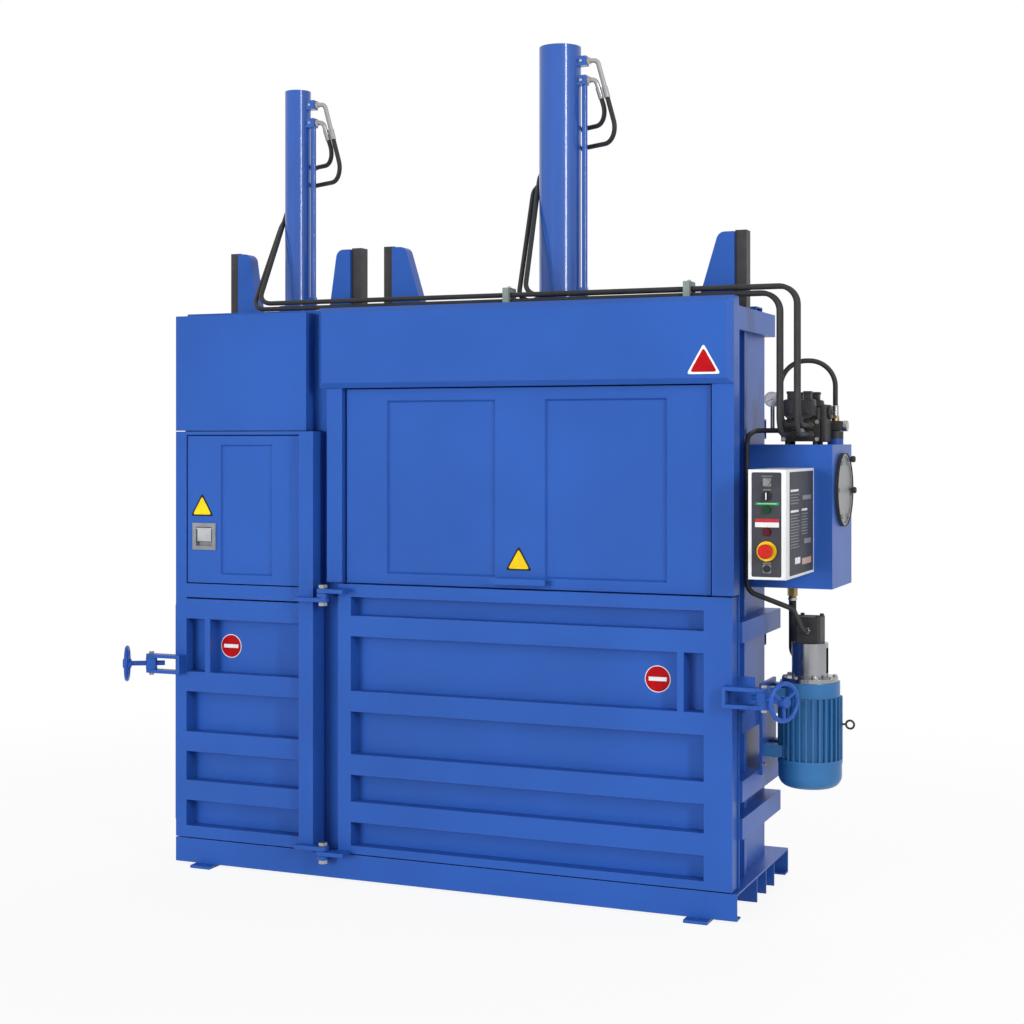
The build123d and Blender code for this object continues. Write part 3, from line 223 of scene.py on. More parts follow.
class Shader(Tree):
    """One material's tree, on Object coordinates."""

    BEVEL_SAMPLES = 4
    EDGE_LIMITS = (0.02, 0.3)
    MIX_COLOURS = (6, 7)
    MIX_RESULT = 2

    def __init__(self, name: str) -> None:
        """Makes an empty material.

        Args:
            name: the material's name.
        """
        self.material = bpy.data.materials.new(name)
        self.material.use_nodes = True
        super().__init__(self.material.node_tree)
        self.output = self.node("ShaderNodeOutputMaterial")
        self.place = self.node("ShaderNodeTexCoord").outputs["Object"]

    def noise(self, scale: float, detail: float = 2.0, stretch: Place = (1.0, 1.0, 1.0)) -> Value:
        """Noise on Object coordinates.

        Args:
            scale: cells per metre.
            detail: octaves.
            stretch: scale along each axis.

        Returns:
            The noise, about 0.5 on average.
        """
        mapped = self.node("ShaderNodeMapping", {}, {"Vector": self.place, "Scale": tuple(stretch)})
        sockets = {"Vector": mapped.outputs[0], "Scale": scale, "Detail": detail}
        return Value(self, self.node("ShaderNodeTexNoise", {}, sockets).outputs[0])

    def coordinate(self, index: int) -> Value:
        """One Object coordinate, by its index."""
        return Value(self, self.node("ShaderNodeSeparateXYZ", {}, {0: self.place}).outputs[index])

    def mix(self, factor: Any, first: Any, second: Any) -> bpy.types.NodeSocket:
        """Mixes two colours.

        Args:
            factor: share of the second colour.
            first: first colour.
            second: second colour.

        Returns:
            The mixed colour's socket.
        """
        colours = [(*c, 1.0) if isinstance(c, tuple) else c for c in (first, second)]
        sockets = {0: factor} | dict(zip(self.MIX_COLOURS, colours))
        return self.node("ShaderNodeMix", {"data_type": "RGBA"}, sockets).outputs[self.MIX_RESULT]

    def rounded(self, radius: float) -> bpy.types.NodeSocket:
        """The normal with edges rounded by a radius."""
        return self.node("ShaderNodeBevel", {"samples": self.BEVEL_SAMPLES}, {"Radius": radius}).outputs[0]

    def edges(self, radius: float) -> Value:
        """A mask of the edges within a radius.

        Args:
            radius: how far from an edge it reaches.

        Returns:
            Zero on flats, rising towards edges.
        """
        plain = self.node("ShaderNodeNewGeometry").outputs["Normal"]
        settings = {"operation": "DOT_PRODUCT"}
        facing = self.node("ShaderNodeVectorMath", settings, {0: self.rounded(radius), 1: plain})
        return (1.0 - Value(self, facing.outputs["Value"])).ramp(*self.EDGE_LIMITS)

    def bump(self, height: Value, distance: float, normal: bpy.types.NodeSocket) -> bpy.types.NodeSocket:
        """A bumped normal, by the bump's height, what a height of one stands for, and the normal under it."""
        sockets = {"Height": height, "Distance": distance, "Normal": normal}
        return self.node("ShaderNodeBump", {}, sockets).outputs[0]

    def surface(self, sockets: dict[str, Any]) -> bpy.types.Node:
        """A principled surface from its sockets."""
        return self.node("ShaderNodeBsdfPrincipled", {}, sockets)

    def finish(self, surface: bpy.types.Node) -> bpy.types.Material:
        """Ends the tree in a surface and gives the material."""
        self.tree.links.new(surface.outputs[0], self.output.inputs[0])
        return self.material


@dataclass(frozen=True)
class Finish:
    """What every finish has: a name and a colour."""

    name: str
    colour: Colour

    def shades(self, low: float, high: float) -> tuple[Colour, Colour]:
        """Two tones of the colour.

        Args:
            low: factor of the darker tone.
            high: factor of the lighter tone.

        Returns:
            The darker and the lighter tone.
        """
        dark = tuple(low * part for part in self.colour)
        light = tuple(min(1.0, high * part) for part in self.colour)
        return dark, light

    def build(self, shader: Shader) -> bpy.types.Node:
        """Adds the finish's surface to a tree."""
        return shader.surface({"Base Color": (*self.colour, 1.0)})

    def material(self) -> bpy.types.Material:
        """The finish's material, made once.

        Returns:
            The material.
        """
        label = f"{self.name}_finish"
        made = bpy.data.materials.get(label)
        if made is not None:
            return made
        shader = Shader(label)
        return shader.finish(self.build(shader))


@dataclass(frozen=True)
class Enamel(Finish):
    """Sprayed machine enamel: faint orange peel, uneven sheen and paler, rubbed edges."""

    roughness: float = 0.4
    edge: float = 2.0 * MM
    peel_scale: float = 420.0
    peel_detail: float = 1.0
    peel: float = 0.06 * MM
    wear: float = 0.3
    gloss: float = 0.3
    coat: float = 0.0
    coat_roughness: float = 0.12
    tones: Pair = (0.93, 1.06)
    cloud_scale: float = 2.2
    cloud_limits: Pair = (0.3, 0.7)
    rub_reach: float = 2.5
    rub_scale: float = 38.0
    rub_limits: Pair = (0.35, 0.75)
    rub_dulling: float = 0.12
    pale_share: float = 0.35
    pale_grey: float = 0.55
    patch_detail: float = 3.0
    sheen_scale: float = 6.0
    sheen_detail: float = 4.0
    sheen_spread: float = 0.1

    def build(self, shader: Shader) -> bpy.types.Node:
        """Adds the enamel's surface.

        Args:
            shader: the tree.

        Returns:
            The surface node.
        """
        dark, light = self.shades(*self.tones)
        cloud = shader.noise(self.cloud_scale, self.patch_detail)
        worn = shader.edges(self.rub_reach * self.edge)
        rubbed = worn * shader.noise(self.rub_scale, self.patch_detail).ramp(*self.rub_limits) * self.wear
        pale = tuple(part + self.pale_share * (self.pale_grey - part) for part in self.colour)
        colour = shader.mix(rubbed, shader.mix(cloud.ramp(*self.cloud_limits), dark, light), pale)
        uneven = shader.noise(self.sheen_scale, self.sheen_detail) - NOISE_MEAN
        sheen = self.roughness + self.sheen_spread * uneven + self.rub_dulling * rubbed
        peel = shader.noise(self.peel_scale, self.peel_detail)
        normal = shader.bump(peel, self.peel, shader.rounded(self.edge))
        sockets = {"Base Color": colour, "Roughness": sheen, "Normal": normal}
        coat = {"Coat Weight": self.coat, "Coat Roughness": self.coat_roughness}
        return shader.surface(sockets | {"Specular IOR Level": self.gloss} | coat)


@dataclass(frozen=True)
class Metal(Finish):
    """Bare or plated metal with fine turned or brushed lines along one axis."""

    roughness: float = 0.28
    lines: Place = (1.0, 1.0, 60.0)
    scale: float = 30.0
    line_detail: float = 2.0
    line_sheen: float = 0.12
    groove: float = 0.03 * MM
    edge: float = 0.6 * MM
    tones: Pair = (0.86, 1.08)
    stain_scale: float = 14.0
    stain_detail: float = 3.0
    stain_limits: Pair = (0.4, 0.75)
    stain_share: float = 0.6
    stain_sheen: float = 0.08

    def build(self, shader: Shader) -> bpy.types.Node:
        """Adds the metal's surface.

        Args:
            shader: the tree.

        Returns:
            The surface node.
        """
        dark, light = self.shades(*self.tones)
        brushed = shader.noise(self.scale, self.line_detail, self.lines)
        stain = shader.noise(self.stain_scale, self.stain_detail).ramp(*self.stain_limits)
        colour = shader.mix(self.stain_share * stain + (1.0 - self.stain_share) * brushed, light, dark)
        sheen = self.roughness + self.line_sheen * (brushed - NOISE_MEAN) + self.stain_sheen * stain
        normal = shader.bump(brushed, self.groove, shader.rounded(self.edge))
        return shader.surface({"Base Color": colour, "Roughness": sheen, "Metallic": 1.0, "Normal": normal})


@dataclass(frozen=True)
class Cast(Finish):
    """Dark cast or phosphated iron with a fine pitted skin."""

    roughness: float = 0.55
    metallic: float = 0.25
    gloss: float = 0.3
    edge: float = 1.5 * MM
    rub_reach: float = 2.0
    tones: Pair = (0.75, 1.5)
    grain: float = 320.0
    grain_limits: Pair = (0.35, 0.7)
    pit: float = 0.25 * MM
    detail: float = 3.0
    sheen_scale: float = 25.0
    sheen_spread: float = 0.15

    def build(self, shader: Shader) -> bpy.types.Node:
        """Adds the casting's surface.

        Args:
            shader: the tree.

        Returns:
            The surface node.
        """
        dark, light = self.shades(*self.tones)
        grain = shader.noise(self.grain, self.detail)
        rubbed = shader.edges(self.rub_reach * self.edge)
        colour = shader.mix(rubbed, shader.mix(grain.ramp(*self.grain_limits), dark, self.colour), light)
        normal = shader.bump(grain, self.pit, shader.rounded(self.edge))
        uneven = shader.noise(self.sheen_scale, self.detail) - NOISE_MEAN
        sheen = self.roughness + self.sheen_spread * uneven
        sockets = {"Base Color": colour, "Roughness": sheen, "Metallic": self.metallic, "Normal": normal}
        return shader.surface(sockets | {"Specular IOR Level": self.gloss})


@dataclass(frozen=True)
class Plastic(Finish):
    """Moulded plastic or rubber with a faint texture."""

    roughness: float = 0.45
    grain: float = 700.0
    grain_detail: float = 2.0
    depth: float = 0.05 * MM
    edge: float = 0.8 * MM
    gloss: float = 0.25
    tones: Pair = (0.88, 1.1)
    cloud_scale: float = 18.0
    cloud_detail: float = 3.0
    cloud_limits: Pair = (0.35, 0.7)
    sheen_scale: float = 45.0
    sheen_spread: float = 0.12

    def build(self, shader: Shader) -> bpy.types.Node:
        """Adds the moulding's surface.

        Args:
            shader: the tree.

        Returns:
            The surface node.
        """
        dark, light = self.shades(*self.tones)
        cloud = shader.noise(self.cloud_scale, self.cloud_detail).ramp(*self.cloud_limits)
        colour = shader.mix(cloud, dark, light)
        uneven = shader.noise(self.sheen_scale, self.grain_detail) - NOISE_MEAN
        sheen = self.roughness + self.sheen_spread * uneven
        grain = shader.noise(self.grain, self.grain_detail)
        normal = shader.bump(grain, self.depth, shader.rounded(self.edge))
        sockets = {"Base Color": colour, "Roughness": sheen, "Normal": normal}
        return shader.surface(sockets | {"Specular IOR Level": self.gloss})


@dataclass(frozen=True)
class TwoPart(Finish):
    """Two finishes on one piece, the second inside boxes of Object coordinates."""

    main: Finish
    other: Finish
    boxes: tuple[tuple[Triple, Triple], ...]

    def build(self, shader: Shader) -> bpy.types.Node:
        """Adds both surfaces and mixes them by place.

        Args:
            shader: the tree.

        Returns:
            The mix node.
        """
        mask: Any = 0.0
        for low, high in self.boxes:
            inside: Any = 1.0
            for index in range(3):
                along = shader.coordinate(index)
                inside = (along > low[index]) * (along < high[index]) * inside
            mask = inside + mask
        sockets = {0: mask, 1: self.main.build(shader).outputs[0], 2: self.other.build(shader).outputs[0]}
        return shader.node("ShaderNodeMixShader", {}, sockets)


BLUE: Colour = (0.019, 0.09, 0.385)
ENAMEL = Enamel("blue_enamel", BLUE)
BARREL_ENAMEL = Enamel(
    "barrel_enamel", BLUE, roughness=0.4, edge=1.0 * MM, peel=0.01 * MM, wear=0.0, gloss=0.2, coat=0.7
)
WHEEL_ENAMEL = Enamel("wheel_enamel", (0.016, 0.085, 0.4), roughness=0.32, wear=0.45, edge=1.0 * MM)
MOTOR_ENAMEL = Enamel("motor_enamel", (0.03, 0.15, 0.36), roughness=0.36, peel=0.12 * MM, edge=1.0 * MM)
CABINET_ENAMEL = Enamel("cabinet_enamel", (0.74, 0.75, 0.76), roughness=0.42, wear=0.0)
COVER_ENAMEL = Enamel("cover_enamel", (0.28, 0.285, 0.29), roughness=0.45, wear=0.1, edge=1.0 * MM)
ZINC = Metal("zinc_steel", (0.42, 0.42, 0.415), roughness=0.3)
BRASS = Metal("brass", (0.42, 0.28, 0.1), roughness=0.34)
CHROME = Metal("rod_chrome", (0.62, 0.63, 0.64), roughness=0.1, groove=0.005 * MM)
BELL_METAL = Metal("bell_aluminium", (0.32, 0.325, 0.34), roughness=0.22, lines=(1.0, 1.0, 240.0))
IRON = Cast("dark_iron", (0.042, 0.042, 0.044))
COIL = Plastic("coil_moulding", (0.034, 0.034, 0.037), roughness=0.46)
RUBBER = Plastic("hose_rubber", (0.03, 0.03, 0.032), roughness=0.52, grain=900.0, depth=0.12 * MM)
WEAR_PLASTIC = Plastic("wear_plastic", (0.045, 0.045, 0.047), roughness=0.5)
CLAMP_PLASTIC = Plastic("clamp_plastic", (0.25, 0.3, 0.27), roughness=0.5)
LATCH_PLASTIC = Plastic("latch_plastic", (0.24, 0.25, 0.27), roughness=0.42)
LATCH_PALE = Plastic("latch_paddle_plastic", (0.42, 0.43, 0.45), roughness=0.38)
LABEL_GREY = Plastic("label_grey", (0.046, 0.048, 0.058), roughness=0.58)
PRINT_WHITE = Plastic("print_white", (0.78, 0.78, 0.78), roughness=0.45)
PRINT_PALE = Plastic("print_pale", (0.22, 0.22, 0.235), roughness=0.5)
PRINT_GREEN = Plastic("print_green", (0.02, 0.26, 0.08), roughness=0.45)
PRINT_MINT = Plastic("print_mint", (0.3, 0.6, 0.38), roughness=0.45)
PRINT_RED = Plastic("print_red", (0.5, 0.03, 0.05), roughness=0.45)
PRINT_TAN = Plastic("print_tan", (0.55, 0.36, 0.27), roughness=0.45)
PRINT_BLACK = Plastic("print_black", (0.012, 0.012, 0.012), roughness=0.4)
BEZEL_GREEN = Plastic("bezel_green", (0.012, 0.07, 0.03), roughness=0.35)
BEZEL_RED = Plastic("bezel_red", (0.09, 0.008, 0.015), roughness=0.35)
DIAL_WHITE = Plastic("dial_white", (0.92, 0.89, 0.91), roughness=0.4)
SIGN_RED = Plastic("sign_red", (0.4, 0.003, 0.006), roughness=0.5, depth=0.01 * MM, gloss=0.15)
SIGN_YELLOW = Plastic("sign_yellow", (0.85, 0.6, 0.01), roughness=0.5, depth=0.01 * MM)
BUTTON_RED = Plastic("button_red", (0.5, 0.014, 0.01), roughness=0.3)
BUTTON_DARK_RED = Plastic("button_dark_red", (0.075, 0.006, 0.012), roughness=0.34)
BUTTON_GREEN = Plastic("button_green", (0.006, 0.045, 0.014), roughness=0.34)
BUTTON_BLACK = Plastic("button_black", (0.02, 0.02, 0.022), roughness=0.3)
COLLAR_YELLOW = Plastic("collar_yellow", (0.85, 0.52, 0.01), roughness=0.3)
LAMP_LENS = Plastic("lamp_lens", (0.2, 0.2, 0.215), roughness=0.15)


def circle(count: int, start: float = 0.0) -> list[Pair]:
    """Even steps round a circle, as cosines and sines.

    Args:
        count: how many steps.
        start: angle of the first step, in degrees.

    Returns:
        A pair for each step.
    """
    angles = [math.radians(start) + 2 * math.pi * index / count for index in range(count)]
    return [(math.cos(angle), math.sin(angle)) for angle in angles]


def turn_to(along: Place) -> Matrix:
    """The rotation that points an upright shape along a direction."""
    return Vector(along).to_track_quat("Z", "Y").to_matrix()


def rounded_outline(corners: Sequence[Vector], cut: float, steps: int = 6) -> list[Vector]:
    """Rounds the corners of a closed outline.

    Args:
        corners: the corners in order.
        cut: how far from each corner its round starts.
        steps: points on each round.

    Returns:
        The outline's points.
    """
    points = []
    for index, corner in enumerate(corners):
        before = corner + cut * (corners[index - 1] - corner).normalized()
        after = corner + cut * (corners[(index + 1) % len(corners)] - corner).normalized()
        for step in range(steps + 1):
            t = step / steps
            points.append((1 - t) ** 2 * before + 2 * t * (1 - t) * corner + t * t * after)
    return points


def settle(name: str, data: bpy.types.Mesh, body: Body) -> bpy.types.Object:
    """Puts a finished mesh in the scene, on its body.

    Args:
        name: the piece's name.
        data: its mesh.
        body: what it rides on.

    Returns:
        The object.
    """
    data.name = name
    data.shade_smooth()
    data.set_sharp_from_angle(angle=math.radians(SHARP_ANGLE))
    piece = bpy.data.objects.new(name, data)
    bpy.context.scene.collection.objects.link(piece)
    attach(piece, body.value)
    LOG.info("piece %s on %s: %d faces", name, body.value, len(data.polygons))
    return piece


class Shape:
    """Closed shapes gathered into one mesh."""

    BEVEL_SEGMENTS = 2
    COLLAR_SIDES = 64

    def __init__(self) -> None:
        """Starts with no faces."""
        self.mesh = bmesh.new()

    def box(self, low: Place, high: Place, bevel: float = 0.0) -> "Shape":
        """Adds a box with bevelled edges.

        Args:
            low: lowest corner.
            high: highest corner.
            bevel: bevel width.

        Returns:
            This shape.
        """
        centre = (Vector(low) + Vector(high)) / 2
        size = Vector(high) - Vector(low)
        matrix = Matrix.Translation(centre) @ Matrix.Diagonal((*size, 1.0))
        made = bmesh.ops.create_cube(self.mesh, size=1.0, matrix=matrix)
        if bevel > 0.0:
            edges = list({edge for vertex in made["verts"] for edge in vertex.link_edges})
            steps = self.BEVEL_SEGMENTS
            bmesh.ops.bevel(self.mesh, geom=edges, offset=bevel, segments=steps, profile=0.5, affect="EDGES")
        return self

    def _ring(self, start: Place, along: Place, places: Sequence[Place]) -> list[bmesh.types.BMVert]:
        """Adds corners by their two lengths across an axis and their distance along it."""
        turn = turn_to(along)
        return [self.mesh.verts.new(Vector(start) + turn @ Vector(place)) for place in places]

    def _band(self, first: Sequence[bmesh.types.BMVert], second: Sequence[bmesh.types.BMVert]) -> None:
        """Adds the faces between two rings.

        Args:
            first: corners of one ring.
            second: corners of the other.
        """
        for index in range(len(first)):
            following = (index + 1) % len(first)
            self.mesh.faces.new((first[index], first[following], second[following], second[index]))

    def turned(self, start: Place, along: Place, profile: Profile, sides: int = 40) -> "Shape":
        """Adds a turned shape, or a hexagon where it has six sides.

        Args:
            start: where the profile's axis starts.
            along: the axis.
            profile: distance along the axis and radius of each ring.
            sides: faces round the axis.

        Returns:
            This shape.
        """
        rings = []
        for distance, radius in profile:
            places = [(radius * c, radius * s, distance) for c, s in circle(sides)]
            rings.append(self._ring(start, along, places))
        for lower, upper in zip(rings, rings[1:]):
            self._band(lower, upper)
        self.mesh.faces.new(list(reversed(rings[0])))
        self.mesh.faces.new(rings[-1])
        return self

    def plate(self, outline: Sequence[Place], depth: Place) -> "Shape":
        """Adds a flat plate.

        Args:
            outline: corners in order.
            depth: from the outline to the other face.

        Returns:
            This shape.
        """
        near = [self.mesh.verts.new(Vector(point)) for point in outline]
        far = [self.mesh.verts.new(Vector(point) + Vector(depth)) for point in outline]
        self.mesh.faces.new(near)
        self.mesh.faces.new(list(reversed(far)))
        self._band(far, near)
        return self

    def collar(
        self, centre: Place, along: Place, half: float, bore: float, depth: float, power: int = 8
    ) -> "Shape":
        """Adds a rounded square or round plate with a round hole.

        Args:
            centre: middle of its back.
            along: where its front faces.
            half: half its side.
            bore: the hole's radius.
            depth: its thickness.
            power: two for a round plate, and more for a squarer one.

        Returns:
            This shape.
        """
        steps = circle(self.COLLAR_SIDES)
        outer = [half / (abs(c) ** power + abs(s) ** power) ** (1 / power) for c, s in steps]
        inner = [bore] * len(steps)
        rings = []
        for level in (0.0, depth):
            for radii in (outer, inner):
                places = [(radius * c, radius * s, level) for radius, (c, s) in zip(radii, steps)]
                rings.append(self._ring(centre, along, places))
        for first, second in ((0, 1), (1, 3), (3, 2), (2, 0)):
            self._band(rings[first], rings[second])
        return self

    def piece(self, name: str, body: Body, finish: Finish) -> bpy.types.Object:
        """Ends the mesh as a piece that rides on a body.

        Args:
            name: the piece's name.
            body: what it rides on.
            finish: its finish.

        Returns:
            The object.
        """
        bmesh.ops.recalc_face_normals(self.mesh, faces=self.mesh.faces[:])
        data = bpy.data.meshes.new(name)
        self.mesh.to_mesh(data)
        self.mesh.free()
        data.materials.append(finish.material())
        return settle(name, data, body)


@dataclass
class Carrier:
    """Points, and edges where a shape follows a line."""

    points: list[Vector] = field(default_factory=list)
    edges: list[tuple[int, int]] = field(default_factory=list)

    def line(self, start: Place, end: Place) -> None:
        """Adds a straight edge between two places."""
        self.edges.append((len(self.points), len(self.points) + 1))
        self.points += [Vector(start), Vector(end)]

    def ring(self, centre: Place, axis: Axis, radius: float, count: int, turn: float = 0.0) -> "Carrier":
        """Adds points on a circle.

        Args:
            centre: the circle's centre.
            axis: its axis.
            radius: its radius.
            count: how many points.
            turn: angle of the first point, in degrees.

        Returns:
            This carrier.
        """
        across = turn_to(axis.value)
        for c, s in circle(count, turn):
            self.points.append(Vector(centre) + across @ Vector((radius * c, radius * s, 0.0)))
        return self


class Repeater(Tree):
    """Geometry nodes that repeat one small shape over the points of a mesh."""

    def __init__(self, name: str, inputs: dict[str, str]) -> None:
        """Starts a tree.

        Args:
            name: the tree's name.
            inputs: the socket type of each named input.
        """
        super().__init__(bpy.data.node_groups.new(name, "GeometryNodeTree"))
        sockets = self.tree.interface
        sockets.new_socket("Geometry", in_out="INPUT", socket_type="NodeSocketGeometry")
        sockets.new_socket("Geometry", in_out="OUTPUT", socket_type="NodeSocketGeometry")
        kinds = inputs | {"Material": "NodeSocketMaterial"}
        self.keys = {
            label: sockets.new_socket(label, in_out="INPUT", socket_type=kind).identifier
            for label, kind in kinds.items()
        }
        self.given = self.node("NodeGroupInput")

    def end(self, instances: bpy.types.NodeSocket) -> None:
        """Makes the instances real, gives them their material and ends the tree.

        Args:
            instances: the instances' socket.
        """
        real = self.node("GeometryNodeRealizeInstances", {}, {0: instances}).outputs[0]
        material = self.given.outputs["Material"]
        dressed = self.node("GeometryNodeSetMaterial", {}, {"Geometry": real, "Material": material})
        self.node("NodeGroupOutput", {}, {0: dressed.outputs[0]})

    def piece(
        self, name: str, body: Body, finish: Finish, carrier: Carrier, values: dict[str, Any]
    ) -> bpy.types.Object:
        """Runs the tree on a carrier and keeps the result as a plain mesh.

        Args:
            name: the piece's name.
            body: what it rides on.
            finish: its finish.
            carrier: the points and edges that the tree reads.
            values: the tree's inputs, by name.

        Returns:
            The object.
        """
        data = bpy.data.meshes.new(f"{name}_carrier")
        data.from_pydata([tuple(point) for point in carrier.points], carrier.edges, [])
        holder = bpy.data.objects.new(f"{name}_carrier", data)
        bpy.context.scene.collection.objects.link(holder)
        modifier = holder.modifiers.new("repeat", "NODES")
        modifier.node_group = self.tree
        for label, value in (values | {"Material": finish.material()}).items():
            modifier[self.keys[label]] = value
        graph = bpy.context.evaluated_depsgraph_get()
        made = bpy.data.meshes.new_from_object(holder.evaluated_get(graph))
        holder.modifiers.remove(modifier)
        bpy.data.objects.remove(holder)
        return settle(name, made, body)


class BoltHeads(Repeater):
    """A hexagon head on a round washer at every point, sized by shares of the thread's diameter."""

    SHARES = {"Head Radius": 0.95, "Head Height": 0.7, "Washer Radius": 1.15, "Washer Height": 0.3}
    WASHER_SIDES = 32

    def __init__(self) -> None:
        """Builds the tree."""
        sizes = {label: "NodeSocketFloat" for label in self.SHARES}
        super().__init__("bolt_heads", sizes | {"Axis": "NodeSocketVector"})
        ask = self.given.outputs
        washer = self._disc(self.WASHER_SIDES, "Washer")
        head = self._disc(HEX_SIDES, "Head")
        rise = Value(self, ask["Washer Height"]) + Value(self, ask["Head Height"])
        shift = self.node("ShaderNodeCombineXYZ", {}, {"Z": rise * 0.5})
        lifted = self.node("GeometryNodeTransform", {}, {"Geometry": head, "Translation": shift.outputs[0]})
        joined = self.node("GeometryNodeJoinGeometry", {}, {0: washer})
        self.tree.links.new(lifted.outputs[0], joined.inputs[0])
        points = self.node("GeometryNodeMeshToPoints", {}, {0: ask["Geometry"]})
        turn = self.node("FunctionNodeAlignRotationToVector", {"axis": "Z"}, {"Vector": ask["Axis"]})
        sockets = {"Points": points.outputs[0], "Instance": joined.outputs[0], "Rotation": turn.outputs[0]}
        self.end(self.node("GeometryNodeInstanceOnPoints", {}, sockets).outputs[0])

    def _disc(self, sides: int, part: str) -> bpy.types.NodeSocket:
        """A prism about its own centre, by its sides and the part whose inputs size it."""
        radius, height = (self.given.outputs[f"{part} {size}"] for size in ("Radius", "Height"))
        sockets = {"Vertices": sides, "Radius": radius, "Depth": height}
        return self.node("GeometryNodeMeshCylinder", {}, sockets).outputs[0]

    def place(self, name: str, carrier: Carrier, axis: Axis, size: float) -> bpy.types.Object:
        """Puts plated bolts of one size on the frame.

        Args:
            name: the piece's name.
            carrier: the points.
            axis: where the heads face.
            size: thread diameter.

        Returns:
            The object.
        """
        values = {label: share * size for label, share in self.SHARES.items()}
        return self.piece(name, Body.FRAME, ZINC, carrier, values | {"Axis": axis.value})


class WeldBeads(Repeater):
    """Overlapping round beads along every edge."""

    SEGMENTS = 8
    RINGS = 4
    PITCH_SHARE = 1.3

    def __init__(self) -> None:
        """Builds the tree."""
        super().__init__("weld_beads", {"Width": "NodeSocketFloat", "Pitch": "NodeSocketFloat"})
        ask = self.given.outputs
        line = self.node("GeometryNodeMeshToCurve", {}, {0: ask["Geometry"]})
        sockets = {0: line.outputs[0], "Length": ask["Pitch"]}
        spots = self.node("GeometryNodeCurveToPoints", {"mode": "LENGTH"}, sockets).outputs
        sockets = {"Segments": self.SEGMENTS, "Rings": self.RINGS, "Radius": ask["Width"]}
        bead = self.node("GeometryNodeMeshUVSphere", {}, sockets)
        sockets = {"Points": spots[0], "Instance": bead.outputs[0], "Rotation": spots["Rotation"]}
        self.end(self.node("GeometryNodeInstanceOnPoints", {}, sockets).outputs[0])

    def place(self, name: str, body: Body, carrier: Carrier, width: float) -> bpy.types.Object:
        """Puts a painted bead on a carrier's edges, by its half width."""
        return self.piece(name, body, ENAMEL, carrier, {"Width": width, "Pitch": self.PITCH_SHARE * width})


@dataclass
class Solids:
    """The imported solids, each dressed in its finish."""

    nodes: dict[str, bpy.types.Object]
    finishes: dict[Finish, tuple[str, ...]]

    def dress(self) -> None:
        """Gives every node its material."""
        for finish, names in self.finishes.items():
            for name in names:
                data = self.nodes[name].data
                data.materials.clear()
                data.materials.append(finish.material())
                LOG.info("solid %s in %s", name, finish.name)


@dataclass
class Signs:
    """Plain coloured signs on the front."""

    thickness: float = 0.8 * MM
    border_share: float = 0.8
    corner_share: float = 0.12
    disc_steps: int = 48
    rim_share: float = 0.94
    field_layers: float = 1.4
    bar_layers: float = 1.8
    bar_shares: Pair = (0.7, 0.15)
    gate_inset: float = 20.0 * MM
    flap_inset: float = 4.0 * MM
    header_sign: Triple = (0.954, 1.764, 0.098)
    flap_sign: Triple = (-0.947, 1.275, 0.083)
    gate_sign: Triple = (0.2945, 1.111, 0.083)
    small_disc: Triple = (-0.854, 0.8, 0.043)
    large_disc: Triple = (0.7755, 0.766, 0.0445)

    def build(self) -> None:
        """Adds all five signs."""
        header = Box.of("large_header").low.y
        posts = Box.of("gate_posts").low.y
        black_yellow = (PRINT_BLACK, SIGN_YELLOW)
        self._triangle("header_sign", Body.FRAME, self.header_sign, header, (PRINT_WHITE, SIGN_RED))
        self._triangle("flap_sign", Body.FEED_FLAP, self.flap_sign, posts + self.flap_inset, black_yellow)
        self._triangle("gate_sign", Body.FEED_GATE, self.gate_sign, posts + self.gate_inset, black_yellow)
        self._disc("small_door_sign", Body.SMALL_DOOR, self.small_disc)
        self._disc("large_door_sign", Body.LARGE_DOOR, self.large_disc)

    def _triangle(
        self, name: str, body: Body, place: Triple, face: float, finishes: tuple[Finish, Finish]
    ) -> None:
        """Adds a three-sided sign with a border.

        Args:
            name: the piece's name.
            body: what it rides on.
            place: X of its middle, Z of its foot, and its height.
            face: Y of the face that carries it.
            finishes: finishes of its border and its field.
        """
        x, foot, height = place
        centre = Vector((x, face, foot + height / 3))
        parts = zip(("border", "field"), (1.0, self.border_share), finishes)
        for layer, (part, share, finish) in enumerate(parts):
            reach = share * height * 2 / 3
            corners = [centre + reach * Vector((s, 0, c)) for c, s in circle(3)]
            outline = rounded_outline(corners, self.corner_share * height)
            depth = Vector((0, -self.thickness * (1 + layer / 2), 0))
            Shape().plate(outline, depth).piece(f"{name}_{part}", body, finish)

    def _disc(self, name: str, body: Body, place: Triple) -> None:
        """Adds a round sign with a pale bar.

        Args:
            name: the piece's name.
            body: what it rides on.
            place: X and Z of its middle, and its radius.
        """
        x, z, radius = place
        centre = Vector((x, DOOR_SKIN_Y, z))
        rim = ("rim", radius, self.thickness, PRINT_WHITE)
        inside = ("field", self.rim_share * radius, self.field_layers * self.thickness, SIGN_RED)
        for part, reach, depth, finish in (rim, inside):
            disc = Shape().turned(centre, Axis.FRONT.value, [(0.0, reach), (depth, reach)], self.disc_steps)
            disc.piece(f"{name}_{part}", body, finish)
        wide, tall = self.bar_shares
        half = Vector((wide * radius, 0, tall * radius))
        near = centre + self.bar_layers * self.thickness * Axis.FRONT.vector()
        Shape().box(near - half, centre + half).piece(f"{name}_bar", body, PRINT_WHITE)


